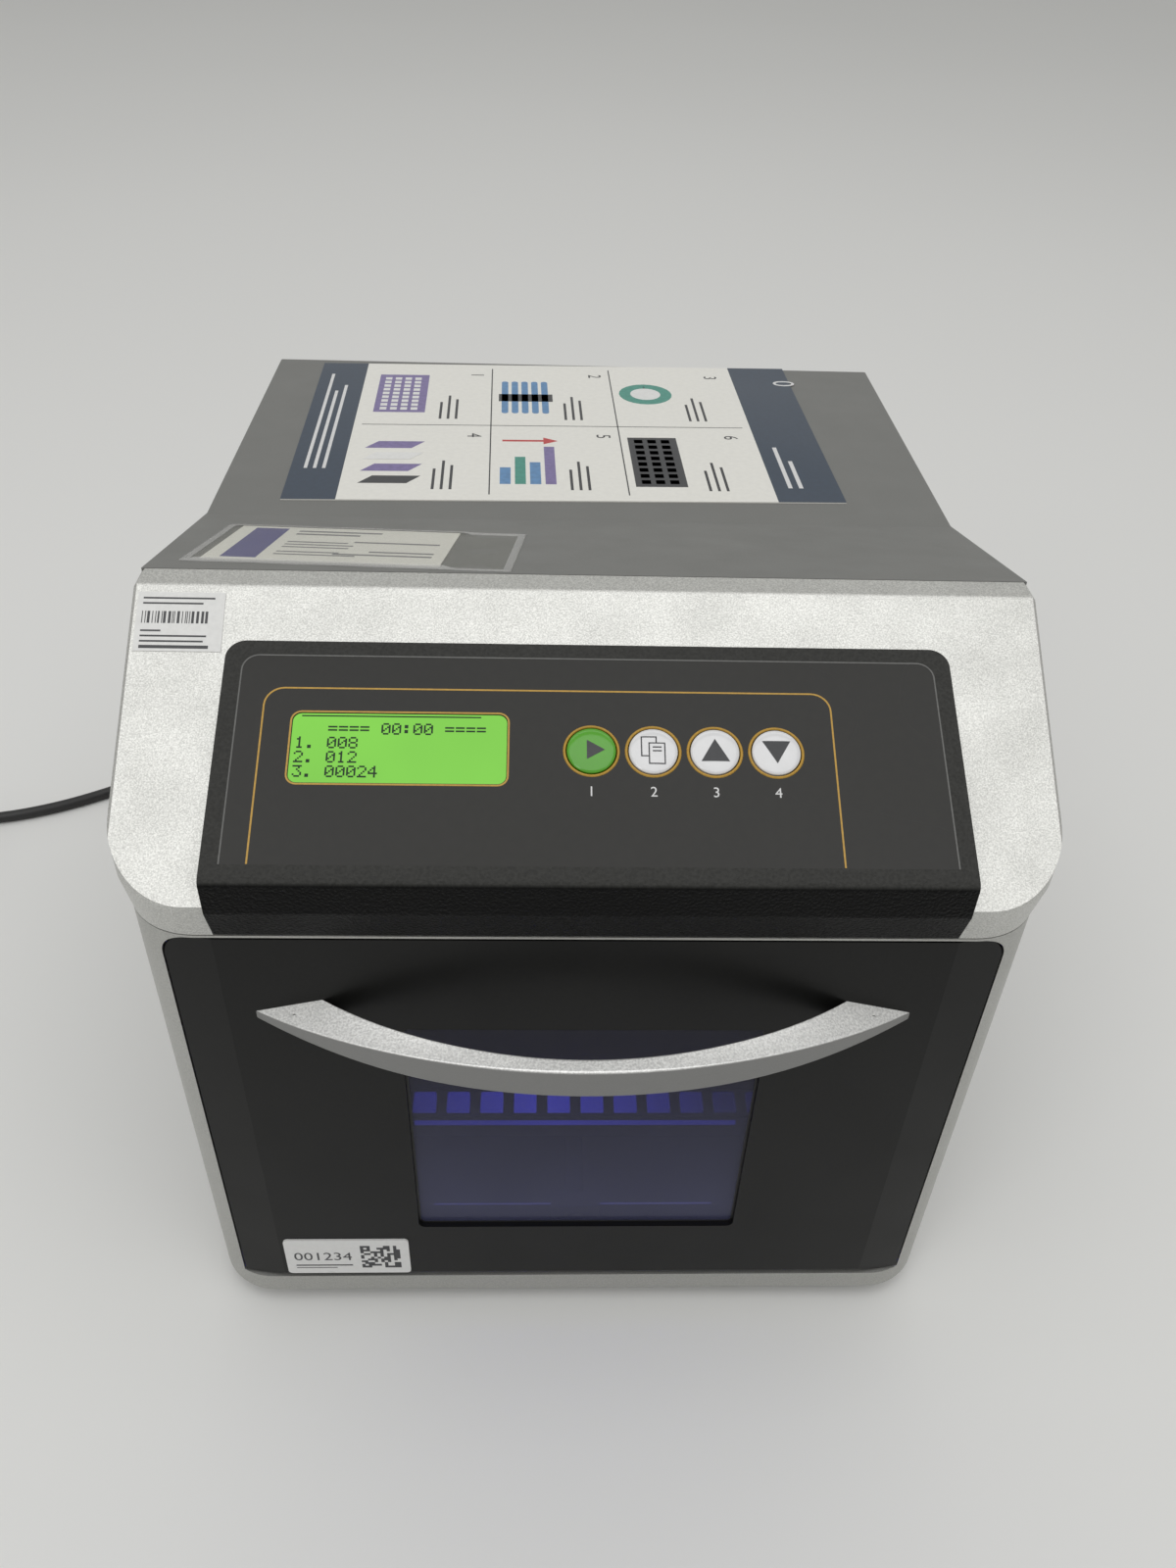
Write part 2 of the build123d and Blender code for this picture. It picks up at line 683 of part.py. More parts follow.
# ------------------------------------------------------------------ door
window_height = window_top - window_bottom
window_middle = (window_top + window_bottom) / 2
with BuildPart() as door_panel:
    # creased skin, seen from above
    with BuildSketch(Plane.XY.offset(door_bottom)):
        with BuildLine():
            Polyline(
                (-door_half_width, back(door_facet_depth)), (-door_flat_half, back(0)),
                (door_flat_half, back(0)), (door_half_width, back(door_facet_depth)),
                (door_half_width, back(door_return)), (door_half_width - door_skin, back(door_return)),
                (door_half_width - door_skin, back(door_facet_depth + door_skin)),
                (door_flat_half, back(door_skin)), (-door_flat_half, back(door_skin)),
                (-door_half_width + door_skin, back(door_facet_depth + door_skin)),
                (-door_half_width + door_skin, back(door_return)), (-door_half_width, back(door_return)),
                close=True,
            )
        make_face()
    extrude(amount=door_top - door_bottom)
    # the returns stop above the hinge
    for side in (-1, 1):
        edge = sorted((side * (door_half_width - door_skin), side * (door_half_width + 1)))
        block(edge, (door_facet_depth + door_skin, door_return + 1), (door_bottom - 1, hinge_height + 6),
              Mode.SUBTRACT)
    # folded top edge
    block((-door_half_width + door_skin, door_half_width - door_skin), (door_facet_depth, door_return),
          (door_top - door_skin, door_top))
    # rounded top corners
    with BuildSketch(Plane.XZ.offset(-back(-1))) as door_front:
        with Locations((0, (door_bottom + door_top) / 2)):
            Rectangle(2 * door_half_width, door_top - door_bottom)
        fillet(door_front.vertices().group_by(Axis.Y)[-1], radius=door_top_corner)
    extrude(amount=-(door_return + 3), mode=Mode.INTERSECT)
    # window opening
    with BuildSketch(Plane.XZ.offset(-back(-1))):
        with Locations((0, window_middle)):
            RectangleRounded(2 * window_half_width, window_height, window_corner)
    extrude(amount=-(door_skin + 2), mode=Mode.SUBTRACT)
    # hinge ears
    for side in (-1, 1):
        for ear_low in (lug_inner - lug_gap - ear_width, lug_outer + lug_gap):
            ear = sorted((side * ear_low, side * (ear_low + ear_width)))
            block(ear, (door_skin - 0.5, hinge_depth + ear_reach),
                  (hinge_height - ear_reach, hinge_height + ear_reach))
            rod((ear[0], hinge_depth, hinge_height), (1, 0, 0), hinge_pin_radius, ear_width, Mode.SUBTRACT)
    # holes for the handle's screws
    for side in (-1, 1):
        rod((side * handle_screw_x, -1, handle_screw_height), (0, 1, 0),
            handle_screw_radius, door_skin + 2, Mode.SUBTRACT)
    low_front = door_panel.edges().filter_by(Axis.X).group_by(Axis.Z)[0].group_by(Axis.Y)[0]
    fillet(low_front, radius=door_skin * 0.9)
door_panel.part.label = "door_panel"
export_step(door_panel.part, "parts/door_panel.step")

with BuildPart() as door_window:
    with BuildSketch(Plane.XZ.offset(-back(door_skin))):
        with Locations((0, window_middle)):
            Rectangle(2 * (window_half_width + window_margin), window_height + 2 * window_margin)
    extrude(amount=-window_thick)
door_window.part.label = "door_window"
export_step(door_window.part, "parts/door_window.step")

def bow_radius(half, reach):
    """Radius of the arc through two points 2 * half apart that stands out by reach between them."""
    return (half ** 2 + reach ** 2) / (2 * reach)


def bow_section(share):
    """Cross-section of the handle's bow, share running from -1 at one tip to 1 at the other."""
    outer = bow_radius(handle_foot_outer, handle_reach)
    inner = bow_radius(handle_foot_inner, handle_reach - handle_thick)
    outer_angle = math.asin(handle_foot_outer / outer) * share
    inner_angle = math.asin(handle_foot_inner / inner) * share
    front_point = (outer * math.sin(outer_angle), outer - handle_reach - outer * math.cos(outer_angle))
    rear_point = (inner * math.sin(inner_angle), inner - handle_reach + handle_thick - inner * math.cos(inner_angle))
    thick = math.dist(front_point, rear_point)
    taper = min(1.0, abs(share))
    crease = handle_crease - handle_crease_fall * taper ** 2
    belly = handle_bottom + handle_belly_rise * taper ** 3
    plane = Plane(
        origin=(front_point[0], back(front_point[1]), 0),
        x_dir=(rear_point[0] - front_point[0], rear_point[1] - front_point[1], 0),
        z_dir=(-(rear_point[1] - front_point[1]), rear_point[0] - front_point[0], 0),
    )
    with BuildSketch(plane) as section:
        with BuildLine():
            height = -1 if plane.y_dir.Z < 0 else 1
            Polyline((0, height * belly), (thick, height * belly), (thick, height * handle_top),
                     (0, height * crease), close=True)
        make_face()
        fillet(section.vertices(), radius=handle_round)
    return section.sketch


with BuildPart() as door_handle:
    shares = [handle_overrun * (2 * i / (handle_sections - 1) - 1) for i in range(handle_sections)]
    loft([bow_section(share).face() for share in shares])
    split(bisect_by=Plane.XZ.offset(-back(0)), keep=Keep.TOP)
    for side in (-1, 1):
        rod((side * handle_screw_x, 0, handle_screw_height), (0, -1, 0),
            handle_screw_radius, handle_screw_grip, Mode.SUBTRACT)
door_handle.part.label = "door_handle"
export_step(door_handle.part, "parts/door_handle.step")

with BuildPart() as handle_screws:
    for side in (-1, 1):
        seat = (side * handle_screw_x, door_skin, handle_screw_height)
        rod(seat, (0, -1, 0), handle_screw_radius, door_skin + handle_screw_grip)
        rod(seat, (0, 1, 0), handle_screw_radius * 1.8, handle_screw_radius)
handle_screws.part.label = "handle_screws"
export_step(handle_screws.part, "parts/handle_screws.step")

with BuildPart() as hinge_pins:
    for side in (-1, 1):
        pin_low = lug_inner - lug_gap - ear_width
        pin_high = lug_outer + lug_gap + ear_width
        pin = sorted((side * pin_low, side * pin_high))
        rod((pin[0], hinge_depth, hinge_height), (1, 0, 0), hinge_pin_radius, pin_high - pin_low)
hinge_pins.part.label = "hinge_pins"
export_step(hinge_pins.part, "parts/hinge_pins.step")

catch_z = (door_top - door_skin - latch_drop - strike_size, door_top - door_skin - latch_drop)
with BuildPart() as strike_plates:
    for side in (-1, 1):
        plate_x = (side * magnet_x - strike_size / 2, side * magnet_x + strike_size / 2)
        block(plate_x, (door_return - strike_thick, door_return), catch_z)
        block((side * magnet_x - 3, side * magnet_x + 3), (door_skin, door_return - strike_thick), catch_z)
strike_plates.part.label = "strike_plates"
export_step(strike_plates.part, "parts/strike_plates.step")

with BuildPart() as door_magnets:
    for side in (-1, 1):
        plate_x = (side * magnet_x - strike_size / 2, side * magnet_x + strike_size / 2)
        block(plate_x, (door_return + strike_gap, door_return + 6),
              (liner_top + 2, catch_z[1]))
door_magnets.part.label = "door_magnets"
export_step(door_magnets.part, "parts/door_magnets.step")

# ------------------------------------------------------------------ chamber
with BuildPart() as chamber_liner:
    inner = liner_half_width - liner_sheet
    block((-liner_half_width, liner_half_width), (liner_front, liner_back),
          (liner_floor - liner_sheet, liner_top))
    block((-inner, inner), (liner_front - 1, liner_back - liner_sheet),
          (liner_floor, liner_top + 1), Mode.SUBTRACT)
    for side in (-1, 1):
        notch = sorted((side * (lug_inner - 2), side * (lug_outer + 2)))
        block(notch, (liner_front - 1, lug_post_depth + 9),
              (liner_floor - 3, liner_floor + 1), Mode.SUBTRACT)
chamber_liner.part.label = "chamber_liner"
export_step(chamber_liner.part, "parts/chamber_liner.step")

with BuildPart() as lamp_tube:
    rod((-lamp_half_long, lamp_depth, lamp_height), (1, 0, 0), lamp_radius, 2 * lamp_half_long)
lamp_tube.part.label = "lamp_tube"
export_step(lamp_tube.part, "parts/lamp_tube.step")

with BuildPart() as lamp_holders:
    for side in (-1, 1):
        cap = sorted((side * lamp_half_long, side * (lamp_half_long + lamp_holder_thick)))
        block(cap, (lamp_depth - lamp_radius - 1, lamp_depth + lamp_radius + 1),
              (lamp_height - lamp_radius - 1, liner_top + 2))
lamp_holders.part.label = "lamp_holders"
export_step(lamp_holders.part, "parts/lamp_holders.step")

# ------------------------------------------------------------------ sample platform
platform_back = platform_front + platform_deep
platform_under = platform_top - platform_thick
rail_top = liner_floor + rail_base_height + rail_height
block_front = platform_front + bay_wall
block_back = block_front + block_deep
with BuildPart() as platform_tray:
    block((-platform_half_width, platform_half_width), (platform_front, platform_back),
          (platform_under, platform_top))
    vertical = platform_tray.edges().filter_by(Axis.Z)
    fillet(vertical.group_by(Axis.Y)[0], radius=5)
    # seat of the heated block, and behind it the bay that takes the reagent strips
    block((-bar_half_width, bar_half_width), (block_front - 0.5, block_back + 0.5),
          (platform_top - pocket_depth, platform_top + 1), Mode.SUBTRACT)
    block((-bar_half_width, bar_half_width), (block_back + bay_wall, platform_back - bay_wall),
          (platform_top - pocket_depth, platform_top + 1), Mode.SUBTRACT)
platform_tray.part.label = "platform_tray"
export_step(platform_tray.part, "parts/platform_tray.step")

with BuildPart() as elution_block:
    block((-bar_half_width + 0.5, bar_half_width - 0.5), (block_front, block_back),
          (platform_top - pocket_depth, platform_top))
    with BuildSketch(Plane.XY.offset(platform_top)):
        with Locations(*[(x, back((block_front + block_back) / 2)) for x in travel_row]):
            Rectangle(position_side, position_side)
    extrude(amount=-position_depth, mode=Mode.SUBTRACT)
elution_block.part.label = "elution_block"
export_step(elution_block.part, "parts/elution_block.step")

with BuildPart() as platform_rails:
    for side in (-1, 1):
        centre = side * rail_x
        block((centre - rail_width, centre + rail_width), (rail_front, rail_back),
              (liner_floor, liner_floor + rail_base_height))
        block((centre - rail_width / 2, centre + rail_width / 2), (rail_front, rail_back),
              (liner_floor + rail_base_height, rail_top))
        # ball grooves along both flanks
        for flank in (-1, 1):
            rod((centre + flank * rail_width / 2, rail_front, rail_top - 6), (0, 1, 0), 1.5,
                rail_back - rail_front, Mode.SUBTRACT)
platform_rails.part.label = "platform_rails"
export_step(platform_rails.part, "parts/platform_rails.step")

with BuildPart() as rail_carriages:
    for side in (-1, 1):
        centre = side * rail_x
        carriage_front = platform_back - carriage_long
        block((centre - carriage_wide / 2, centre + carriage_wide / 2), (carriage_front, platform_back),
              (rail_top - rail_height + 3, platform_under))
        block((centre - rail_width / 2 - carriage_gap, centre + rail_width / 2 + carriage_gap),
              (carriage_front - 1, platform_back + 1),
              (rail_top - rail_height, rail_top + carriage_gap), Mode.SUBTRACT)
rail_carriages.part.label = "rail_carriages"
export_step(rail_carriages.part, "parts/rail_carriages.step")

nut_front = platform_back - nut_long
with BuildPart() as platform_nut:
    rod((0, nut_front, platform_screw_height), (0, 1, 0), nut_radius, nut_long)
    block((-nut_radius, nut_radius), (nut_front, platform_back), (platform_screw_height, platform_under))
    rod((0, nut_front - 1, platform_screw_height), (0, 1, 0), screw_radius + running_gap,
        nut_long + 2, Mode.SUBTRACT)
platform_nut.part.label = "platform_nut"
export_step(platform_nut.part, "parts/platform_nut.step")

motor_front = liner_back - liner_sheet - motor_long
screw_start = rail_front - 1
with BuildPart() as platform_screw:
    rod((0, screw_start, platform_screw_height), (0, 1, 0), screw_radius, motor_front + 6 - screw_start)
platform_screw.part.label = "platform_screw"
export_step(platform_screw.part, "parts/platform_screw.step")


def motor(origin, direction):
    """A square stepping motor whose mounting face is at origin, (x, depth, z), its shaft along direction."""
    start = Plane(origin=(origin[0], back(origin[1]), origin[2]), x_dir=(1, 0, 0), z_dir=direction)
    with BuildPart() as body:
        with BuildSketch(start):
            RectangleRounded(motor_side, motor_side, motor_corner)
        extrude(amount=-motor_long)
        with BuildSketch(start):
            Circle(screw_radius + running_gap)
        extrude(amount=-12, mode=Mode.SUBTRACT)
    return body.part


with BuildPart() as screw_bearing:
    block((-11, 11), (screw_start + 1, screw_start + 9), (liner_floor, platform_screw_height + 9))
    rod((0, screw_start, platform_screw_height), (0, 1, 0), screw_radius + running_gap, 20, Mode.SUBTRACT)
screw_bearing.part.label = "screw_bearing"
export_step(screw_bearing.part, "parts/screw_bearing.step")

# ------------------------------------------------------------------ magnet rod lift
low_bracket_top = low_bracket_height + bracket_thick
lift_screws = {"plunger": plunger_screw_x, "magnet": magnet_screw_x}
with BuildPart() as lift_frame:
    plate_z = (liner_floor, top_bracket_height + bracket_thick)
    block((-bracket_half_width, bracket_half_width), (z_plate_depth, z_plate_depth + z_plate_thick), plate_z)
    block((-motor_side / 2 - 3, motor_side / 2 + 3), (z_plate_depth - 1, z_plate_depth + z_plate_thick + 1),
          (liner_floor - 1, platform_screw_height + motor_side / 2 + 3), Mode.SUBTRACT)
    for low in (low_bracket_height, top_bracket_height):
        block((-bracket_half_width, bracket_half_width), (bracket_front, z_plate_depth),
              (low, low + bracket_thick))
    for x in lift_screws.values():
        rod((x, post_depth, low_bracket_height - 1), (0, 0, 1), screw_radius + running_gap,
            plate_z[1] - low_bracket_height + 2, Mode.SUBTRACT)
    for side in (-1, 1):
        rod((side * guide_x, post_depth, low_bracket_top - 3), (0, 0, 1), guide_radius,
            top_bracket_height + 3 - low_bracket_top + 3, Mode.SUBTRACT)
lift_frame.part.label = "lift_frame"
export_step(lift_frame.part, "parts/lift_frame.step")

with BuildPart() as guide_rods:
    for side in (-1, 1):
        rod((side * guide_x, post_depth, low_bracket_top - 3), (0, 0, 1), guide_radius,
            top_bracket_height + 3 - low_bracket_top + 3)
guide_rods.part.label = "guide_rods"
export_step(guide_rods.part, "parts/guide_rods.step")

for lift_name, x in lift_screws.items():
    with BuildPart() as lift_screw:
        rod((x, post_depth, low_bracket_height - 8), (0, 0, 1), screw_radius,
            top_bracket_height + bracket_thick - low_bracket_height + 8)
    lift_screw.part.label = f"{lift_name}_screw"
    export_step(lift_screw.part, f"parts/{lift_name}_screw.step")


with BuildPart() as stepper_motors:
    add(motor((0, motor_front, platform_screw_height), (0, -1, 0)))
    for x in lift_screws.values():
        add(motor((x, post_depth, low_bracket_height), (0, 0, 1)))
stepper_motors.part.label = "stepper_motors"
export_step(stepper_motors.part, "parts/stepper_motors.step")


def carrier(low, own_screw, other_screw, hole_radius):
    """A bar over the row of positions with a plate back to the guide rods, drilled for what passes it."""
    high = low + carrier_thick
    with BuildPart() as body:
        block((-bar_half_width, bar_half_width), (bar_depth - bar_deep / 2, bar_depth + bar_deep / 2),
              (low, high))
        block((-guide_x - 14, guide_x + 14), (bar_depth, post_depth + 12), (low, high))
        with BuildSketch(Plane.XY.offset(low)):
            with Locations((0, back((bar_depth + bar_deep / 2 + post_depth - nut_radius) / 2))):
                with GridLocations(52, 0, 3, 1):
                    RectangleRounded(38, post_depth - bar_depth - bar_deep / 2 - 2 * nut_radius, 6)
        extrude(amount=carrier_thick, mode=Mode.SUBTRACT)
        for side in (-1, 1):
            rod((side * guide_x, post_depth, high), (0, 0, 1), guide_radius + 4, guide_boss_high)
            rod((side * guide_x, post_depth, low - 1), (0, 0, 1), guide_radius + running_gap,
                carrier_thick + guide_boss_high + 2, Mode.SUBTRACT)
        rod((own_screw, post_depth, low - 1), (0, 0, 1), nut_radius, carrier_thick + 2, Mode.SUBTRACT)
        rod((other_screw, post_depth, low - 1), (0, 0, 1), screw_radius + 2, carrier_thick + 2, Mode.SUBTRACT)
        with BuildSketch(Plane.XY.offset(low)):
            with Locations(*[(x, back(bar_depth)) for x in travel_row]):
                Circle(hole_radius)
        extrude(amount=carrier_thick, mode=Mode.SUBTRACT)
    return body.part


def lead_nut(low, x):
    """A flanged brass nut seated in its carrier."""
    with BuildPart() as body:
        rod((x, post_depth, low - 6), (0, 0, 1), nut_radius + 3, 6)
        rod((x, post_depth, low), (0, 0, 1), nut_radius, carrier_thick)
        rod((x, post_depth, low - 7), (0, 0, 1), screw_radius + running_gap, carrier_thick + 8, Mode.SUBTRACT)
    return body.part


with BuildPart() as plunger_bar:
    add(carrier(plunger_height, plunger_screw_x, magnet_screw_x, sleeve_bore))
plunger_bar.part.label = "plunger_bar"
export_step(plunger_bar.part, "parts/plunger_bar.step")

with BuildPart() as plunger_nut:
    add(lead_nut(plunger_height, plunger_screw_x))
plunger_nut.part.label = "plunger_nut"
export_step(plunger_nut.part, "parts/plunger_nut.step")

with BuildPart() as magnet_bar:
    add(carrier(magnet_height, magnet_screw_x, plunger_screw_x, magnet_radius))
magnet_bar.part.label = "magnet_bar"
export_step(magnet_bar.part, "parts/magnet_bar.step")

with BuildPart() as magnet_nut:
    add(lead_nut(magnet_height, magnet_screw_x))
magnet_nut.part.label = "magnet_nut"
export_step(magnet_nut.part, "parts/magnet_nut.step")

# plastic sleeves, closed below, on a common strip that slides under the carrier
with BuildPart() as sleeve_comb:
    block((-bar_half_width, bar_half_width), (bar_depth - bar_deep / 2 + 2, bar_depth + bar_deep / 2 - 2),
          (plunger_height - 2, plunger_height))
    with BuildSketch(Plane.XY.offset(plunger_height)):
        with Locations(*[(x, back(bar_depth)) for x in travel_row]):
            Circle(sleeve_radius)
    extrude(amount=sleeve_tip - plunger_height, taper=0)
    tips = sleeve_comb.edges().filter_by(GeomType.CIRCLE).group_by(Axis.Z)[0]
    chamfer(tips, length=2)
    with BuildSketch(Plane.XY.offset(plunger_height)):
        with Locations(*[(x, back(bar_depth)) for x in travel_row]):
            Circle(sleeve_bore)
    extrude(amount=sleeve_tip + rod_tip_gap - plunger_height, mode=Mode.SUBTRACT)
sleeve_comb.part.label = "sleeve_comb"
export_step(sleeve_comb.part, "parts/sleeve_comb.step")

magnet_tip = sleeve_tip + 2 * rod_tip_gap + plunger_travel
with BuildPart() as magnet_rods:
    with BuildSketch(Plane.XY.offset(magnet_tip)):
        with Locations(*[(x, back(bar_depth)) for x in travel_row]):
            Circle(magnet_radius)
    extrude(amount=magnet_height + carrier_thick - magnet_tip)
magnet_rods.part.label = "magnet_rods"
export_step(magnet_rods.part, "parts/magnet_rods.step")

# ------------------------------------------------------------------ electronics and rear fittings
electronics_front = z_plate_depth + z_plate_thick + electronics_gap
pan_top = foot_height + pan_sheet
with BuildPart() as power_supply:
    block((supply_left, supply_left + supply_wide), (electronics_front, panel_front - supply_rear_gap),
          (pan_top, pan_top + supply_high))
power_supply.part.label = "power_supply"
export_step(power_supply.part, "parts/power_supply.step")

with BuildPart() as main_board:
    board_x = (main_board_left, main_board_left + main_board_wide)
    board_y = (electronics_front, panel_front - main_board_rear_gap)
    board_z = (pan_top + main_board_rise, pan_top + main_board_rise + board_thick)
    block(board_x, board_y, board_z)
    for x in (board_x[0] + board_post_inset, board_x[1] - board_post_inset):
        for depth in (board_y[0] + board_post_inset, board_y[1] - board_post_inset):
            rod((x, depth, pan_top), (0, 0, 1), board_post_radius, main_board_rise)
    # processor, capacitors and a cable header
    chip = (board_x[0] + board_chip_left, board_y[0] + board_chip_front)
    block((chip[0], chip[0] + board_chip_side), (chip[1], chip[1] + board_chip_side),
          (board_z[1], board_z[1] + board_chip_high))
    for i in range(capacitor_count):
        rod((board_x[1] - capacitor_side, board_y[0] + capacitor_front + capacitor_pitch * i, board_z[1]),
            (0, 0, 1), capacitor_radius, capacitor_high)
    header = (board_x[0] + board_post_inset, board_y[1] - header_inset)
    block((header[0], header[0] + header_long), (header[1] - header_deep, header[1]),
          (board_z[1], board_z[1] + header_high))
main_board.part.label = "main_board"
export_step(main_board.part, "parts/main_board.step")

fan_front = panel_front - fan_thick
with BuildPart() as fan_housing:
    with BuildSketch(rear_plane(fan_x, fan_front, fan_height)):
        RectangleRounded(fan_side, fan_side, fan_corner)
    extrude(amount=fan_thick)
    rod((fan_x, fan_front - 1, fan_height), (0, 1, 0), fan_bore, fan_thick + 2, Mode.SUBTRACT)
    # hub plate on four struts at the inner end
    rod((fan_x, fan_front, fan_height), (0, 1, 0), fan_hub, 2)
    with Locations(rear_plane(fan_x, fan_front, fan_height).location):
        with PolarLocations(0, 2, start_angle=45, angular_range=180):
            Box(2 * fan_bore + 2, 4, 2, align=(Align.CENTER, Align.CENTER, Align.MIN))
    rod((fan_x, fan_front, fan_height), (0, 1, 0), 2, fan_thick - 3)
fan_housing.part.label = "fan_housing"
export_step(fan_housing.part, "parts/fan_housing.step")

rotor_front = fan_front + 3
rotor_long = fan_thick - 4.5
blade_radius = fan_bore - fan_tip_gap
with BuildPart() as fan_rotor:
    with Locations(rear_plane(fan_x, rotor_front, fan_height).location):
        with PolarLocations(0, fan_blades):
            with Locations(Location((blade_radius / 2, 0, rotor_long / 2), (48, 0, 0))):
                Box(blade_radius, 1.4, rotor_long * 1.9)
        from_end = (Align.CENTER, Align.CENTER, Align.MIN)
        Cylinder(blade_radius, rotor_long, align=from_end, mode=Mode.INTERSECT)
        Cylinder(fan_hub, rotor_long, align=from_end)
        Cylinder(2 + running_gap, rotor_long - 1.5, align=from_end, mode=Mode.SUBTRACT)
fan_rotor.part.label = "fan_rotor"
export_step(fan_rotor.part, "parts/fan_rotor.step")

guard_rings = [fan_bore + guard_overlap - guard_ring_pitch * i for i in range(guard_ring_count)]
with BuildPart() as fan_guard:
    with BuildSketch(rear_plane(fan_x, panel_depth, fan_height)):
        for ring in guard_rings:
            Circle(ring + guard_wire / 2)
            Circle(ring - guard_wire / 2, mode=Mode.SUBTRACT)
        with PolarLocations((guard_rings[0] + guard_rings[-1]) / 2, 4, start_angle=45):
            Rectangle(guard_rings[0] - guard_rings[-1], guard_wire)
    extrude(amount=guard_wire)
fan_guard.part.label = "fan_guard"
export_step(fan_guard.part, "parts/fan_guard.step")

socket_z = inlet_height - socket_drop
rocker_z = inlet_height + rocker_rise
with BuildPart() as power_inlet:
    with BuildSketch(rear_plane(inlet_x, panel_depth, inlet_height)):
        RectangleRounded(inlet_flange_wide, inlet_flange_high, 3)
    extrude(amount=inlet_flange_thick)
    body_wide = opening_wide - inlet_gap
    body_high = opening_high - inlet_gap
    block((inlet_x - body_wide, inlet_x + body_wide), (panel_depth - inlet_deep, panel_depth),
          (inlet_height - body_high, inlet_height + body_high))
    inlet_face = panel_depth + inlet_flange_thick
    block((inlet_x - socket_wide / 2, inlet_x + socket_wide / 2),
          (inlet_face - socket_deep, inlet_face + 1),
          (socket_z - socket_high / 2, socket_z + socket_high / 2), Mode.SUBTRACT)
    for x, z in pin_spots:
        block((inlet_x + x - 1, inlet_x + x + 1), (inlet_face - socket_deep, inlet_face - 3),
              (socket_z + z - 2, socket_z + z + 2))
    well_wide = rocker_wide / 2 + rocker_gap
    well_high = rocker_high / 2 + rocker_gap
    block((inlet_x - well_wide, inlet_x + well_wide), (inlet_face - rocker_well_deep, inlet_face + 1),
          (rocker_z - well_high, rocker_z + well_high), Mode.SUBTRACT)
    rod((inlet_x - rocker_wide / 2 - 1.5, inlet_face - rocker_pivot_deep, rocker_z), (1, 0, 0),
        rocker_pivot_radius + running_gap, rocker_wide + 3, Mode.SUBTRACT)
power_inlet.part.label = "power_inlet"
export_step(power_inlet.part, "parts/power_inlet.step")

# the rocker rests tipped one way, and its pivot ends sit in the inlet's sides
rocker_pivot = (inlet_x, back(inlet_face - rocker_pivot_deep), rocker_z)
rocker_plane = Plane(origin=rocker_pivot, x_dir=(0, 1, 0), z_dir=(1, 0, 0))
with BuildPart() as power_rocker:
    with BuildSketch(rocker_plane.offset(-rocker_wide / 2)):
        with BuildLine():
            reach = rocker_high / 2 - 0.6
            Polyline((1.0, -reach), (2.2, 0), (1.0, reach), (-3.5, 3), (-3.5, -3), close=True)
        make_face()
    extrude(amount=rocker_wide)
    with BuildSketch(rocker_plane.offset(-rocker_wide / 2 - 1.2)):
        Circle(rocker_pivot_radius)
    extrude(amount=rocker_wide + 2.4)
rocker_axis = Axis(rocker_pivot, (1, 0, 0))
tipped_rocker = power_rocker.part.rotate(rocker_axis, rocker_tilt)
tipped_rocker.label = "power_rocker"
export_step(tipped_rocker, "parts/power_rocker.step")

with BuildPart() as serial_port:
    for (wide, deep, high), start in ((serial_flange, panel_depth), (serial_body, panel_depth - serial_body[1])):
        block((serial_x - wide / 2, serial_x + wide / 2), (start, start + deep),
              (serial_height - high / 2, serial_height + high / 2))
    shell_plane = rear_plane(serial_x, panel_depth, serial_height)
    with BuildSketch(shell_plane):
        Trapezoid(*serial_shell)
    extrude(amount=serial_reach)
serial_port.part.label = "serial_port"
export_step(serial_port.part, "parts/serial_port.step")

# ------------------------------------------------------------------ mains cord
with BuildPart() as cord_connector:
    block((inlet_x - socket_wide / 2 + plug_gap, inlet_x + socket_wide / 2 - plug_gap),
          (inlet_face + 0.4 - plug_insert, inlet_face + 0.4),
          (socket_z - socket_high / 2 + plug_gap, socket_z + socket_high / 2 - plug_gap))
    for x, z in pin_spots:
        block((inlet_x + x - 1.4, inlet_x + x + 1.4), (inlet_face - plug_insert - 1, inlet_face - 2),
              (socket_z + z - 2.4, socket_z + z + 2.4), Mode.SUBTRACT)
    with BuildSketch(rear_plane(inlet_x, inlet_face + 0.4, socket_z)):
        RectangleRounded(plug_wide, plug_high, 4)
    with BuildSketch(rear_plane(inlet_x, inlet_face + plug_long, socket_z)):
        RectangleRounded(plug_wide * 0.6, plug_high * 0.8, 4)
    loft()
    with Locations(rear_plane(inlet_x, inlet_face + plug_long, socket_z).location):
        Cone(relief_radius, cord_radius + 0.6, relief_long, align=(Align.CENTER, Align.CENTER, Align.MIN))
cord_connector.part.label = "cord_connector"
export_step(cord_connector.part, "parts/cord_connector.step")


def route_radii(route):
    """The largest even bend at each inner point that its two straight runs allow."""
    points = [Vector(*point) for point in route]
    radii = []
    for before, here, after in zip(points, points[1:], points[2:]):
        run = min((here - before).length, (after - here).length)
        turn = math.radians((here - before).get_angle(after - here))
        radii.append(0.45 * run / math.tan(turn / 2))
    return radii


cord_radii = route_radii(cord_route)
print("cord bend radii", [round(radius) for radius in cord_radii])
with BuildPart() as power_cord:
    with BuildLine() as cord_path:
        FilletPolyline(*[(x, back(depth), z) for x, depth, z in cord_route], radius=cord_radii)
    with BuildSketch(Plane(origin=cord_path.line @ 0, z_dir=cord_path.line % 0)):
        Circle(cord_radius)
    sweep()
cord_length = sum(edge.length for edge in cord_path.edges())
print("cord length", round(cord_length, 1), "volume ratio",
      round(power_cord.part.volume / (math.pi * cord_radius ** 2 * cord_length), 4))
power_cord.part.label = "power_cord"
export_step(power_cord.part, "parts/power_cord.step")

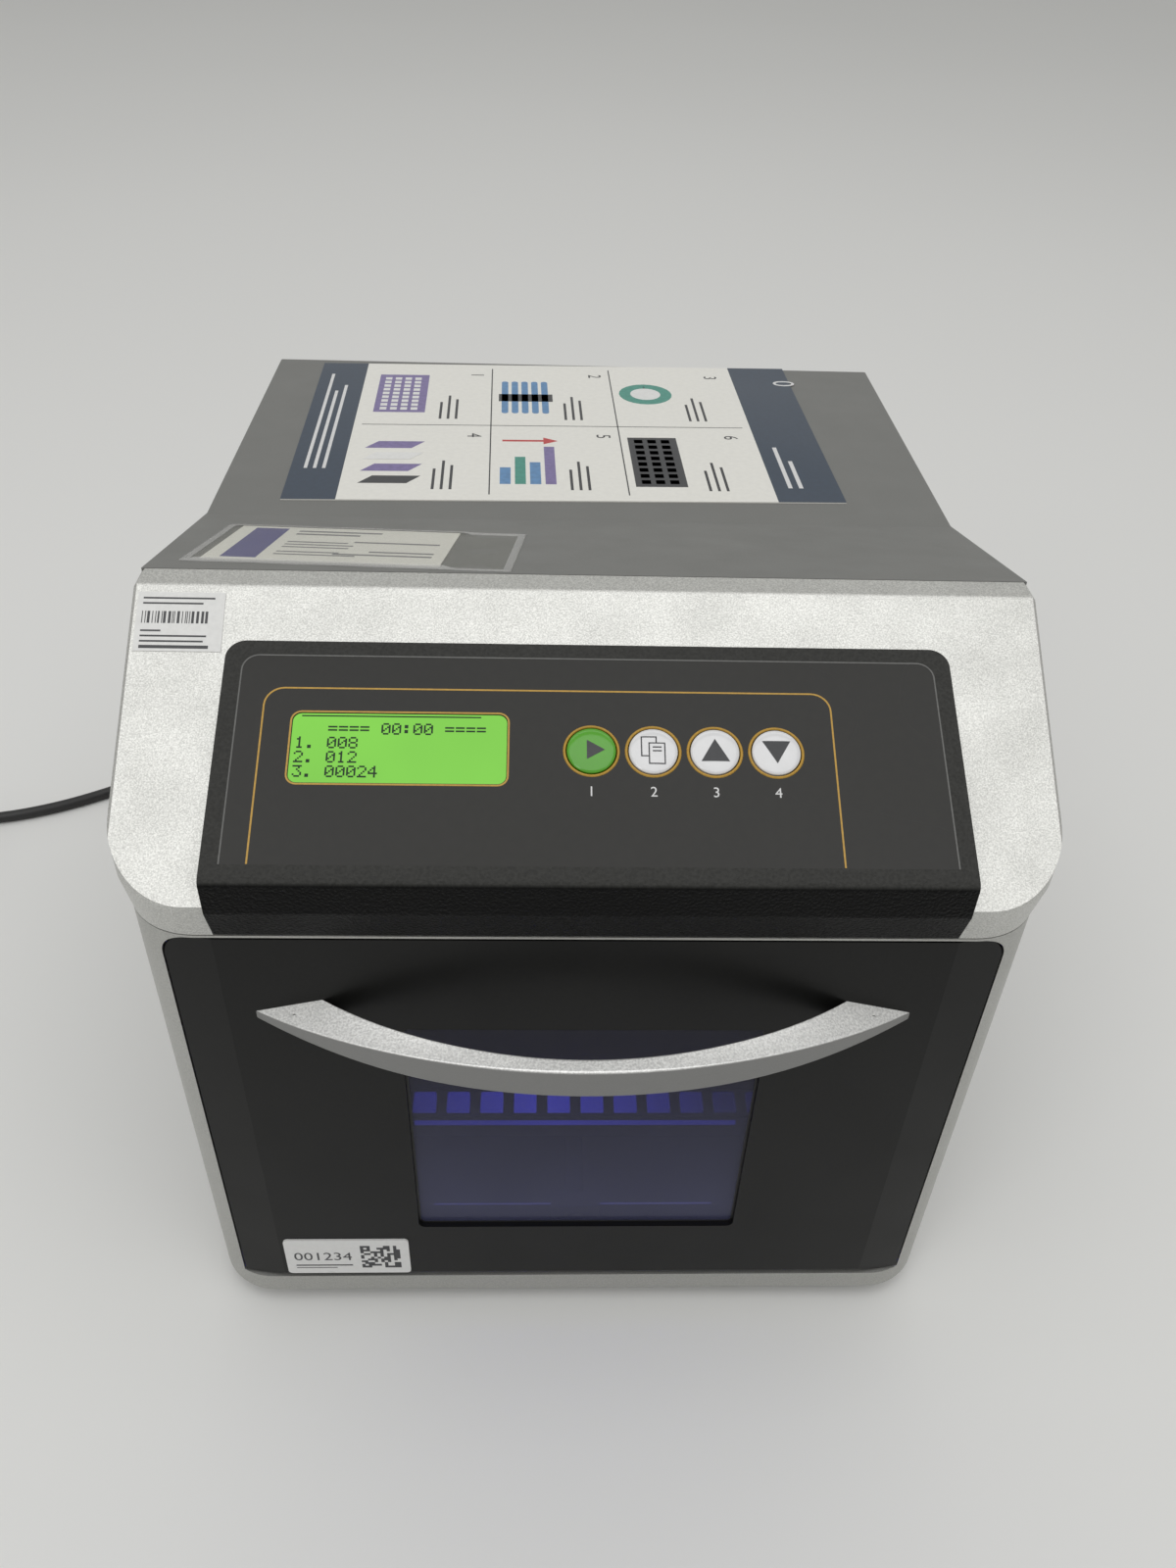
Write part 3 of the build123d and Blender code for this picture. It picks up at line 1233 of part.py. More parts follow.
with BuildPart() as cord_coil:
    with BuildSketch(Plane.XY):
        with Locations((coil_middle[0], back(coil_middle[1]))):
            Circle(coil_outer)
            Circle(coil_inner, mode=Mode.SUBTRACT)
    extrude(amount=coil_height)
    fillet(cord_coil.edges().filter_by(GeomType.CIRCLE), radius=4)
cord_coil.part.label = "cord_coil"
export_step(cord_coil.part, "parts/cord_coil.step")

plug_line = coil_middle[0] - (coil_outer + coil_inner) / 2
relief_start = coil_middle[1] - (coil_outer + coil_inner) / 2 * 0.62
plug_start = relief_start - relief_long
plug_end = plug_start - plug_body[0]
plug_z = plug_body[2] / 2
with BuildPart() as mains_plug:
    rod((plug_line, relief_start, plug_z), (0, -1, 0), relief_radius, relief_long)
    block((plug_line - plug_body[1] / 2, plug_line + plug_body[1] / 2), (plug_end, plug_start),
          (0, plug_body[2]))
    body_edges = mains_plug.edges().filter_by(Axis.Y).filter_by(GeomType.LINE)
    fillet(body_edges.group_by(SortBy.LENGTH)[-1], radius=4)
    for shift in (-blade_pitch / 2, blade_pitch / 2):
        block((plug_line + shift - 0.75, plug_line + shift + 0.75), (plug_end - 17, plug_end),
              (plug_z, plug_z + 6.3))
    rod((plug_line, plug_end, plug_z - 6), (0, -1, 0), 2.4, 19)
mains_plug.part.label = "mains_plug"
export_step(mains_plug.part, "parts/mains_plug.step")

# ------------------------------------------------------------------ cards and labels
with BuildPart() as asset_label:
    label_size = (asset_label_x[1] - asset_label_x[0], asset_label_z[1] - asset_label_z[0])
    with BuildSketch(Plane.XZ.offset(-back(0))):
        with Locations((sum(asset_label_x) / 2, sum(asset_label_z) / 2)):
            RectangleRounded(label_size[0], label_size[1], 2)
    extrude(amount=asset_label_thick)
asset_label.part.label = "asset_label"
export_step(asset_label.part, "parts/asset_label.step")

hood_face = Plane(
    origin=(0, back(-hood_lean), hood_lip_height),
    x_dir=(1, 0, 0),
    z_dir=(0, -math.sin(slope), math.cos(slope)),
)
with BuildPart() as check_label:
    with BuildSketch(hood_face):
        with Locations((sum(check_label_x) / 2, sum(check_label_up) / 2)):
            Rectangle(check_label_x[1] - check_label_x[0], check_label_up[1] - check_label_up[0])
    extrude(amount=label_thick)
check_label.part.label = "check_label"
export_step(check_label.part, "parts/check_label.step")

cover_face = Plane(
    origin=(name_card_middle[0], back(name_card_middle[1]),
            case_height - math.tan(cover_slope) * (name_card_middle[1] - hood_depth)),
    x_dir=(1, 0, 0),
    z_dir=(0, math.sin(cover_slope), math.cos(cover_slope)),
)
with BuildPart() as name_card:
    with BuildSketch(cover_face):
        Rectangle(name_card_size[0], name_card_size[1], rotation=name_card_turn)
    extrude(amount=card_thick)
name_card.part.label = "name_card"
export_step(name_card.part, "parts/name_card.step")

with BuildPart() as guide_card:
    with BuildSketch(Plane.XY.offset(rear_height)):
        with Locations((guide_card_middle[0], back(guide_card_middle[1]))):
            Rectangle(guide_card_size[0], guide_card_size[1], rotation=guide_card_turn)
    extrude(amount=card_thick)
guide_card.part.label = "guide_card"
export_step(guide_card.part, "parts/guide_card.step")
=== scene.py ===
import math
import random

import bmesh
import bpy
from mathutils import Matrix, Vector


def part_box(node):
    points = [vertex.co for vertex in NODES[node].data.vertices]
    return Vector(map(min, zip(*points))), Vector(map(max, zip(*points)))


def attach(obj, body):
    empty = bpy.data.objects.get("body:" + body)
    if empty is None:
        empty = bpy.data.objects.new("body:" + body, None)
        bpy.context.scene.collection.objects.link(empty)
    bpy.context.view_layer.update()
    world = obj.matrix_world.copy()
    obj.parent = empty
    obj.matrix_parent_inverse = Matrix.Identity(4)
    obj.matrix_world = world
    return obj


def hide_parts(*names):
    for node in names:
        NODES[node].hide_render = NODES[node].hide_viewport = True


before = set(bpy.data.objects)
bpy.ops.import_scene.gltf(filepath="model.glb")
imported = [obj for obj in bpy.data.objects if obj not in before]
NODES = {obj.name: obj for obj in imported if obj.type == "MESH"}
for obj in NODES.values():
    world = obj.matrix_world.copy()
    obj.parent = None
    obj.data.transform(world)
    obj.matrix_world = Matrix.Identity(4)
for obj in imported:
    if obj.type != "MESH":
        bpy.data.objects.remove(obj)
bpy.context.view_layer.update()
MM = 0.001

# ------------------------------------------------------------------ places on the part
DOOR_SKIN = 2.5                                   # thickness of the door in front of its window
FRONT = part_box("door_window")[0].y - DOOR_SKIN * MM
CONSOLE_NOSE_DEPTH, CONSOLE_NOSE_HEIGHT = -8.5, 271.5
CONSOLE_PITCH = math.radians(27.7)
LIP_DEPTH, LIP_HEIGHT = -6.7, 258.9               # the hood's lip
SLOPE_END = 89.15                                 # depth at which the hood's slope ends
RIDGE_DEPTH, RIDGE_HEIGHT = 100.4, 325.0          # where the top cover meets the hood
KINK_DEPTH, REAR_HEIGHT = 190.0, 302.2            # where the top cover levels off
HOOD_PITCH = math.atan2(RIDGE_HEIGHT - LIP_HEIGHT, SLOPE_END - LIP_DEPTH)
COVER_PITCH = -math.atan2(RIDGE_HEIGHT - REAR_HEIGHT, KINK_DEPTH - RIDGE_DEPTH)


def place(x, depth, z):
    """A point from millimetres: x, depth behind the door's face, and height."""
    return Vector((x * MM, FRONT + depth * MM, z * MM))


def ground(origin, pitch, turn=0.0):
    """A point function of (x, y, out) in millimetres on a plane through origin that rises to the rear."""
    along = Vector((math.cos(turn), math.sin(turn) * math.cos(pitch), math.sin(turn) * math.sin(pitch)))
    up = Vector((-math.sin(turn), math.cos(turn) * math.cos(pitch), math.cos(turn) * math.sin(pitch)))
    off = Vector((0, -math.sin(pitch), math.cos(pitch)))
    return lambda x, y, out=0.0: origin + along * (x * MM) + up * (y * MM) + off * (out * MM)


on_console = ground(place(0, CONSOLE_NOSE_DEPTH, CONSOLE_NOSE_HEIGHT), CONSOLE_PITCH)
on_hood = ground(place(0, LIP_DEPTH, LIP_HEIGHT), HOOD_PITCH)
on_door = ground(place(0, 0, 0), math.radians(90))

# ------------------------------------------------------------------ camera
IMAGE_HEIGHT = 1600                               # pixels
FOCAL_LENGTH = 1259.45                            # in the same pixels
SENSOR = 36.0
CAMERA_PITCH = math.radians(38.33)
CAMERA_YAW = math.radians(2.81)
CAMERA_ROLL = math.radians(2.29)
CAMERA_PLACE = (-17.49, -301.62, 545.5)           # x, depth and height


def make_camera():
    """The photograph's view of the part."""
    ahead = Vector((
        math.sin(CAMERA_YAW) * math.cos(CAMERA_PITCH),
        math.cos(CAMERA_YAW) * math.cos(CAMERA_PITCH),
        -math.sin(CAMERA_PITCH),
    ))
    level = Vector((math.cos(CAMERA_YAW), -math.sin(CAMERA_YAW), 0))
    right = math.cos(CAMERA_ROLL) * level + math.sin(CAMERA_ROLL) * level.cross(ahead)
    upward = right.cross(ahead)
    data = bpy.data.cameras.new("camera")
    data.sensor_fit = "VERTICAL"
    data.sensor_height = SENSOR
    data.lens = SENSOR * FOCAL_LENGTH / IMAGE_HEIGHT
    camera = bpy.data.objects.new("camera", data)
    bpy.context.scene.collection.objects.link(camera)
    turned = Matrix((right, upward, -ahead)).transposed()
    camera.matrix_world = Matrix.Translation(place(*CAMERA_PLACE)) @ turned.to_4x4()
    bpy.context.scene.camera = camera


make_camera()


# ------------------------------------------------------------------ materials
def new_material(name):
    """A material, its node tree and its shader."""
    mat = bpy.data.materials.new(name)
    mat.use_nodes = True
    tree = mat.node_tree
    return mat, tree, tree.nodes["Principled BSDF"]


def noise(tree, scale, detail=3.0):
    """A noise texture in the part's own coordinates."""
    coords = tree.nodes.new("ShaderNodeTexCoord")
    tex = tree.nodes.new("ShaderNodeTexNoise")
    tex.inputs["Scale"].default_value = scale
    tex.inputs["Detail"].default_value = detail
    tree.links.new(coords.outputs["Object"], tex.inputs["Vector"])
    return tex.outputs["Fac"]


def spread(tree, value, low, high):
    """Stretches a noise value about its middle onto low..high."""
    node = tree.nodes.new("ShaderNodeMapRange")
    node.inputs["From Min"].default_value = 0.3
    node.inputs["From Max"].default_value = 0.7
    node.inputs["To Min"].default_value = low
    node.inputs["To Max"].default_value = high
    tree.links.new(value, node.inputs["Value"])
    return node.outputs["Result"]


def colours(tree, value, dark, light):
    """A ramp between two colours over the middle of a noise value."""
    ramp = tree.nodes.new("ShaderNodeValToRGB")
    ramp.color_ramp.elements[0].position = 0.35
    ramp.color_ramp.elements[0].color = (*dark, 1)
    ramp.color_ramp.elements[1].position = 0.65
    ramp.color_ramp.elements[1].color = (*light, 1)
    tree.links.new(value, ramp.inputs["Fac"])
    return ramp.outputs["Color"]


def bump(tree, shader, value, strength, distance):
    """Relief from a value, its full height a distance in metres."""
    node = tree.nodes.new("ShaderNodeBump")
    node.inputs["Strength"].default_value = strength
    node.inputs["Distance"].default_value = distance
    tree.links.new(value, node.inputs["Height"])
    tree.links.new(node.outputs["Normal"], shader.inputs["Normal"])


def surface(name, colour, vary=0.12, grain=400, rough=(0.4, 0.5), metal=0.0, depth=0.00002, strength=0.3,
            coat=0.0, specular=0.5):
    """A finish: its colour with a grain of light and dark, uneven roughness and a fine relief."""
    mat, tree, shader = new_material(name)
    fine = noise(tree, grain)
    broad = noise(tree, grain / 40, 2.0)
    dark = tuple(channel * (1 - vary) for channel in colour)
    light = tuple(min(1, channel * (1 + vary)) for channel in colour)
    tree.links.new(colours(tree, fine, dark, light), shader.inputs["Base Color"])
    tree.links.new(spread(tree, broad, *rough), shader.inputs["Roughness"])
    shader.inputs["Metallic"].default_value = metal
    shader.inputs["Coat Weight"].default_value = coat
    shader.inputs["Specular IOR Level"].default_value = specular
    bump(tree, shader, fine, strength, depth)
    return mat


def along_axis(tree, axis, start, end):
    """Where a point lies between two places on one of the part's axes, in metres, from 0 to 1."""
    coords = tree.nodes.new("ShaderNodeTexCoord")
    split = tree.nodes.new("ShaderNodeSeparateXYZ")
    share = tree.nodes.new("ShaderNodeMapRange")
    share.inputs["From Min"].default_value = start
    share.inputs["From Max"].default_value = end
    tree.links.new(coords.outputs["Object"], split.inputs[0])
    tree.links.new(split.outputs[axis], share.inputs["Value"])
    return share.outputs["Result"]


def blend(tree, share, first, second):
    """A mix of two colour outputs."""
    mix = tree.nodes.new("ShaderNodeMix")
    mix.data_type = "RGBA"
    tree.links.new(share, mix.inputs[0])
    tree.links.new(first, mix.inputs[6])             # sockets 6 and 7 are its two colours
    tree.links.new(second, mix.inputs[7])
    return mix.outputs[2]                            # and socket 2 the colour that comes out


def lit_surface(name, colour, emission, strength, grain=60, fade=None):
    """A finish that gives off its own light, a little unevenly, and less towards the ends of a fade. On the
    lamp and the display this is their own light; on the platform's edge, the floor's edge and the inserts the
    glow is painted light, and the fade is a painted falloff of it.
    """
    mat, tree, shader = new_material(name)
    soft = noise(tree, grain, 2.0)
    brighter = tuple(min(1, channel * 1.15) for channel in colour)
    tree.links.new(colours(tree, soft, colour, brighter), shader.inputs["Base Color"])
    power = spread(tree, soft, 0.92 * strength, 1.08 * strength)
    # painted light: the fade dims the glow towards the ends of a stretch along x
    if fade:
        brightest, reach, ends = fade
        ramp = tree.nodes.new("ShaderNodeValToRGB")
        for element in ramp.color_ramp.elements:
            element.color = (ends, ends, ends, 1)
        ramp.color_ramp.elements.new(0.5).color = (1, 1, 1, 1)
        product = tree.nodes.new("ShaderNodeMath")
        product.operation = "MULTIPLY"
        tree.links.new(along_axis(tree, "X", brightest - reach, brightest + reach), ramp.inputs["Fac"])
        tree.links.new(ramp.outputs["Color"], product.inputs[0])
        tree.links.new(power, product.inputs[1])
        power = product.outputs[0]
    tree.links.new(power, shader.inputs["Emission Strength"])
    shader.inputs["Emission Color"].default_value = (*emission, 1)
    shader.inputs["Roughness"].default_value = 0.35
    return mat


def see_through(name, tint, shade, weight, rough, upper=None):
    """Clear plastic: tinted light straight through, under a share of gloss that may change colour upwards,
    which paints shade.
    """
    mat, tree, shader = new_material(name)
    clear = tree.nodes.new("ShaderNodeBsdfTransparent")
    clear.inputs["Color"].default_value = (*tint, 1)
    mix = tree.nodes.new("ShaderNodeMixShader")
    ripple = noise(tree, 25, 2.0)
    lighter = tuple(min(1, channel * 1.12) for channel in shade)
    film = colours(tree, ripple, shade, lighter)
    # painted shade where asked: the gloss colour blends to another one upwards
    if upper:
        colour, start, end = upper
        film = blend(tree, along_axis(tree, "Z", start, end), film, colours(tree, ripple, colour, colour))
    tree.links.new(film, shader.inputs["Base Color"])
    tree.links.new(spread(tree, ripple, *rough), shader.inputs["Roughness"])
    mix.inputs["Fac"].default_value = weight
    tree.links.new(clear.outputs[0], mix.inputs[1])
    tree.links.new(shader.outputs[0], mix.inputs[2])
    tree.links.new(mix.outputs[0], tree.nodes["Material Output"].inputs["Surface"])
    return mat


def facing_up(tree, start, end):
    """A value that climbs from 0 on upright faces to 1 on faces that look up."""
    coords = tree.nodes.new("ShaderNodeTexCoord")
    split = tree.nodes.new("ShaderNodeSeparateXYZ")
    climb = tree.nodes.new("ShaderNodeMapRange")
    climb.inputs["From Min"].default_value = start
    climb.inputs["From Max"].default_value = end
    tree.links.new(coords.outputs["Normal"], split.inputs[0])
    tree.links.new(split.outputs["Z"], climb.inputs["Value"])
    return climb.outputs["Result"]


def darken_upright(mat, dark, light):
    """Gives a finish painted shade: a darker grain on its upright faces, for the shade they lie in, and
    leaves its colour on those that slope.
    """
    tree = mat.node_tree
    base = tree.nodes["Principled BSDF"].inputs["Base Color"]
    upright = colours(tree, noise(tree, 850), dark, light)
    # painted shade: upright faces take the darker grain, sloping ones keep the finish's colour
    tree.links.new(blend(tree, facing_up(tree, 0.20, 0.55), upright, base.links[0].from_socket), base)


def cast_and_brushed(name, upper, front):
    """Cast metal: bright and grainy on its upper faces as a painted highlight from overhead light, darker on
    its upright ones as painted shade; the grain is the metal's own.
    """
    mat, tree, shader = new_material(name)
    fine = noise(tree, 1300)
    painted_lit_top = colours(tree, fine, tuple(channel * 0.72 for channel in upper), upper)
    painted_shaded_front = colours(tree, fine, tuple(channel * 0.95 for channel in front), front)
    # painted light: the colour climbs from the shaded upright colour to the lit upper one as the faces turn
    # up
    upward = facing_up(tree, 0.25, 0.85)
    tree.links.new(blend(tree, upward, painted_shaded_front, painted_lit_top), shader.inputs["Base Color"])
    tree.links.new(spread(tree, fine, 0.38, 0.48), shader.inputs["Roughness"])
    shader.inputs["Metallic"].default_value = 0.4
    bump(tree, shader, fine, 0.7, 0.00014)
    return mat


# ------------------------------------------------------------------ finishes
SILVER = surface("silver_paint", (0.565, 0.565, 0.543), vary=0.20, grain=1900, rough=(0.40, 0.50), metal=0.88,
                 depth=0.00005, strength=0.5)
FRAME_SILVER = surface("frame_paint", (0.44, 0.44, 0.42), vary=0.10, grain=1500, rough=(0.40, 0.50),
                       metal=0.7, depth=0.00003)
COVER = surface("cover_paint", (0.180, 0.181, 0.172), vary=0.05, grain=1800, rough=(0.50, 0.60), metal=0.1)
CONSOLE = surface("console_plastic", (0.043, 0.043, 0.0405), vary=0.15, grain=850, rough=(0.26, 0.38),
                  depth=0.0006, strength=1.0, specular=0.10)
# painted shade: the console's upright front faces are coloured darker for the shade they lie in
darken_upright(CONSOLE, (0.001, 0.001, 0.001), (0.003, 0.003, 0.003))
OVERLAY = surface("overlay_film", (0.014, 0.0135, 0.0115), vary=0.06, grain=300, rough=(0.22, 0.30),
                  specular=0.30)
DOOR = surface("door_paint", (0.006, 0.006, 0.0056), vary=0.10, grain=900, rough=(0.30, 0.40), specular=0.20)
# painted light: near white on the handle's upper faces, dark grey on its upright ones
HANDLE = cast_and_brushed("handle_cast_painted_light", (1.0, 1.0, 0.98), (0.235, 0.235, 0.23))
STEEL = surface("plated_steel", (0.55, 0.55, 0.54), rough=(0.28, 0.40), metal=0.95, grain=700)
DARK = surface("black_steel", (0.022, 0.022, 0.026), rough=(0.45, 0.60), grain=900, specular=0.3)
MILLED = surface("milled_aluminium", (0.66, 0.66, 0.68), rough=(0.30, 0.42), metal=0.9, grain=900)
BLOCK = surface("anodised_black", (0.020, 0.020, 0.030), rough=(0.38, 0.50), grain=900, specular=0.3)
BRASS = surface("turned_brass", (0.62, 0.43, 0.16), rough=(0.25, 0.35), metal=0.95, grain=900)
RUBBER = surface("rubber_feet", (0.022, 0.022, 0.022), rough=(0.70, 0.85), grain=600)
CABLE = surface("cable_sheath", (0.014, 0.014, 0.014), rough=(0.42, 0.55), grain=500)
WHITE = surface("white_plastic", (0.72, 0.72, 0.70), vary=0.03, rough=(0.35, 0.45), grain=500)
BLACK = surface("black_plastic", (0.022, 0.022, 0.022), rough=(0.40, 0.52), grain=1100)
BOARD = surface("solder_mask", (0.015, 0.11, 0.04), rough=(0.30, 0.40), grain=500)
KEY_WHITE = surface("key_white", (0.74, 0.74, 0.75), vary=0.02, rough=(0.08, 0.14), grain=200, coat=0.6)
KEY_GREEN = surface("key_green", (0.085, 0.36, 0.015), vary=0.03, rough=(0.12, 0.18), grain=200, coat=0.2)
GOLD = surface("gold_print", (0.50, 0.29, 0.040), vary=0.08, rough=(0.35, 0.45), grain=900)
INK = surface("dark_print", (0.035, 0.036, 0.040), vary=0.08, rough=(0.35, 0.45), grain=600)
LEGEND = surface("white_print", (0.70, 0.70, 0.70), vary=0.03, rough=(0.40, 0.50), grain=600)
CARD = surface("card_white", (0.80, 0.79, 0.74), vary=0.02, rough=(0.28, 0.38), grain=400)
PAPER = surface("label_paper", (0.76, 0.76, 0.745), vary=0.03, rough=(0.40, 0.50), grain=500)
TAG = surface("tag_white", (0.74, 0.74, 0.73), vary=0.02, rough=(0.25, 0.35), grain=500)
NAVY = surface("navy_print", (0.018, 0.036, 0.065), vary=0.08, rough=(0.28, 0.38), grain=400)
INDIGO = surface("indigo_print", (0.055, 0.050, 0.22), vary=0.08, rough=(0.28, 0.38), grain=400)
VIOLET = surface("violet_print", (0.19, 0.15, 0.33), vary=0.10, rough=(0.28, 0.38), grain=400)
TEAL = surface("teal_print", (0.05, 0.27, 0.21), vary=0.10, rough=(0.28, 0.38), grain=400)
BRICK = surface("red_print", (0.50, 0.045, 0.045), vary=0.10, rough=(0.28, 0.38), grain=400)
SKY = surface("blue_print", (0.10, 0.24, 0.45), vary=0.10, rough=(0.28, 0.38), grain=400)
GREY_PRINT = surface("grey_print", (0.20, 0.20, 0.21), vary=0.08, rough=(0.30, 0.40), grain=400)
LCD_GREEN = lit_surface("lcd_backlight", (0.02, 0.08, 0.006), (0.215, 0.66, 0.045), 0.78, grain=18)
LCD_DOT = surface("lcd_dot", (0.006, 0.028, 0.008), vary=0.1, rough=(0.30, 0.40), grain=300, specular=0.25)
LAMP = lit_surface("lamp_glass", (0.35, 0.38, 0.9), (0.10, 0.09, 1.0), 9.0)
# painted light: the platform's front edge glows, brightest left of the middle and dimmer towards its ends,
# for the lamp's light on it
EDGE_GLOW = lit_surface("violet_edge_painted_glow", (0.05, 0.05, 0.20), (0.11, 0.105, 0.95), 1.5, grain=14,
                        fade=(-0.010, 0.090, 0.45))
# painted light: a glow for the lamp's light on the chamber floor's edge
FAINT_GLOW = lit_surface("faint_edge_painted_glow", (0.03, 0.03, 0.08), (0.16, 0.16, 0.50), 1.6, grain=14)
# painted light: the inserts glow, brightest left of the middle and fading towards the ends of the row, for
# the lamp's light on them
WELL_GLOW = lit_surface("lit_well", (0.03, 0.03, 0.14), (0.13, 0.125, 1.00), 1.9, grain=9,
                        fade=(-0.016, 0.085, 0.10))
# painted shade: the window's gloss turns darker towards the top, under the handle and the console's overhang
WINDOW = see_through("smoked_window", (0.55, 0.55, 0.66), (0.085, 0.090, 0.165), 0.50, (0.16, 0.24),
                     upper=((0.012, 0.012, 0.030), 0.075, 0.175))
LENS = see_through("display_lens", (0.92, 1.0, 0.88), (0.02, 0.03, 0.02), 0.05, (0.06, 0.12))
RIM = surface("rim_highlight", (0.11, 0.11, 0.105), vary=0.10, rough=(0.30, 0.40), grain=500)
SLEEVE = see_through("card_sleeve", (0.97, 0.97, 0.96), (0.50, 0.50, 0.49), 0.07, (0.10, 0.22))
# partly painted highlight: the raised sealed rim is real, and its lighter, less clear film paints the bright
# line along the sleeve's edge
SLEEVE_RIM_HIGHLIGHT = see_through("sleeve_rim_highlight", (0.94, 0.94, 0.93), (0.70, 0.70, 0.69), 0.30, (0.10, 0.22))

NODE_FINISH = {
    SILVER: ("hood",),
    FRAME_SILVER: ("front_frame",),
    COVER: ("top_cover", "rear_panel"),
    STEEL: ("base_pan", "cover_screws", "handle_screws", "hinge_pins", "strike_plates", "guide_rods",
            "magnet_rods", "plunger_screw", "magnet_screw", "fan_guard", "serial_port"),
    RUBBER: ("rubber_feet",),
    CONSOLE: ("console_housing",),
    OVERLAY: ("keypad_overlay",),
    LENS: ("lcd_lens",),
    LCD_GREEN: ("lcd_module",),
    BOARD: ("keypad_board", "main_board"),
    DOOR: ("door_panel",),
    WINDOW: ("door_window",),
    HANDLE: ("door_handle",),
    BLACK: ("door_magnets", "fan_housing", "fan_rotor", "power_inlet", "power_rocker"),
    DARK: ("chamber_liner", "platform_tray", "stepper_motors", "platform_rails", "rail_carriages",
           "platform_screw", "screw_bearing"),
    LAMP: ("lamp_tube",),
    WHITE: ("lamp_holders", "sleeve_comb"),
    BLOCK: ("elution_block",),
    MILLED: ("lift_frame", "plunger_bar", "magnet_bar", "power_supply"),
    BRASS: ("platform_nut", "plunger_nut", "magnet_nut"),
    CABLE: ("cord_connector", "mains_plug"),
    TAG: ("asset_label",),
    PAPER: ("check_label",),
    CARD: ("name_card", "guide_card"),
}
for finish, names in NODE_FINISH.items():
    for node_name in names:
        NODES[node_name].data.materials.clear()
        NODES[node_name].data.materials.append(finish)


# ------------------------------------------------------------------ mesh helpers
def mesh_object(name, verts, faces, mat, body, smooth=False):
    """A piece of the scene, from points in metres, that rides on a body."""
    mesh = bpy.data.meshes.new(name)
    mesh.from_pydata([tuple(vert) for vert in verts], [], faces)
    mesh.validate()
    mesh.materials.append(mat)
    mesh.polygons.foreach_set("use_smooth", [smooth] * len(mesh.polygons))
    mesh.update()
    obj = bpy.data.objects.new(name, mesh)
    bpy.context.scene.collection.objects.link(obj)
    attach(obj, body)
    return obj


class Print:
    """Flat printed shapes, in millimetres on one ground, gathered into one thin mesh."""

    def __init__(self, where, lift=0.0, thick=0.05):
        self.where = where
        self.lift = lift
        self.thick = thick
        self.verts = []
        self.faces = []

    def shape(self, points):
        """A filled convex outline, counter-clockwise, with its edge turned down to the ground."""
        first = len(self.verts)
        count = len(points)
        for out in (self.lift + self.thick, self.lift):
            self.verts += [self.where(x, y, out) for x, y in points]
        self.faces.append(tuple(range(first, first + count)))
        for i in range(count):
            j = (i + 1) % count
            self.faces.append((first + j, first + i, first + count + i, first + count + j))

    def bar(self, x, y, wide, high):
        """A filled rectangle from its lower left corner."""
        self.shape([(x, y), (x + wide, y), (x + wide, y + high), (x, y + high)])

    def lines(self, x, y, lengths, pitch, high, from_right=False):
        """Bars one below another that stand for lines of small print."""
        for i, long in enumerate(lengths):
            self.bar(x - long if from_right else x, y - i * pitch, long, high)

    def band(self, outer, inner):
        """The strip between two rows of points."""
        for i in range(len(outer) - 1):
            self.shape([outer[i], outer[i + 1], inner[i + 1], inner[i]])

    def arch(self, left, low, right, high, radius, width):
        """A line up one side, over the top and down the other, with rounded corners."""
        inner = radius - width
        self.band(
            [(right, low)] + arc(right - radius, high - radius, radius, 0, 90)
            + arc(left + radius, high - radius, radius, 90, 180) + [(left, low)],
            [(right - width, low)] + arc(right - radius, high - radius, inner, 0, 90)
            + arc(left + radius, high - radius, inner, 90, 180) + [(left + width, low)],
        )

    def outline(self, x0, y0, x1, y1, radius, width):
        """A closed line of even width round a rounded rectangle."""
        outer = rounded(x0, y0, x1, y1, radius)
        inner = rounded(x0 + width, y0 + width, x1 - width, y1 - width, max(radius - width, 0.1))
        self.band(outer + outer[:1], inner + inner[:1])

    def numerals(self, text, x, y, size, turn=0.0):
        """Digits from the built-in font, their lower left corner at x, y, in millimetres."""
        curve = bpy.data.curves.new("digits", "FONT")
        curve.body = text
        curve.size = size
        curve.resolution_u = 3
        holder = bpy.data.objects.new("digits", curve)
        flat = bpy.data.meshes.new_from_object(holder)
        first = len(self.verts)
        cos, sin = math.cos(turn), math.sin(turn)
        for vert in flat.vertices:
            px, py = vert.co.x, vert.co.y
            self.verts.append(self.where(x + px * cos - py * sin, y + px * sin + py * cos,
                                         self.lift + self.thick))
        self.faces += [tuple(first + index for index in face.vertices) for face in flat.polygons]
        bpy.data.objects.remove(holder)
        bpy.data.curves.remove(curve)
        bpy.data.meshes.remove(flat)

    def make(self, name, mat, body):
        """Closes the print as one named piece."""
        return mesh_object(name, self.verts, self.faces, mat, body)


def arc(cx, cy, radius, start, end, steps=8):
    """Points round an arc, its angles in degrees."""
    angles = [math.radians(start + (end - start) * i / steps) for i in range(steps + 1)]
    return [(cx + radius * math.cos(angle), cy + radius * math.sin(angle)) for angle in angles]


def rounded(x0, y0, x1, y1, radius, steps=6):
    """A rounded rectangle, counter-clockwise from its lower right corner."""
    return (
        arc(x1 - radius, y0 + radius, radius, -90, 0, steps)
        + arc(x1 - radius, y1 - radius, radius, 0, 90, steps)
        + arc(x0 + radius, y1 - radius, radius, 90, 180, steps)
        + arc(x0 + radius, y0 + radius, radius, 180, 270, steps)
    )


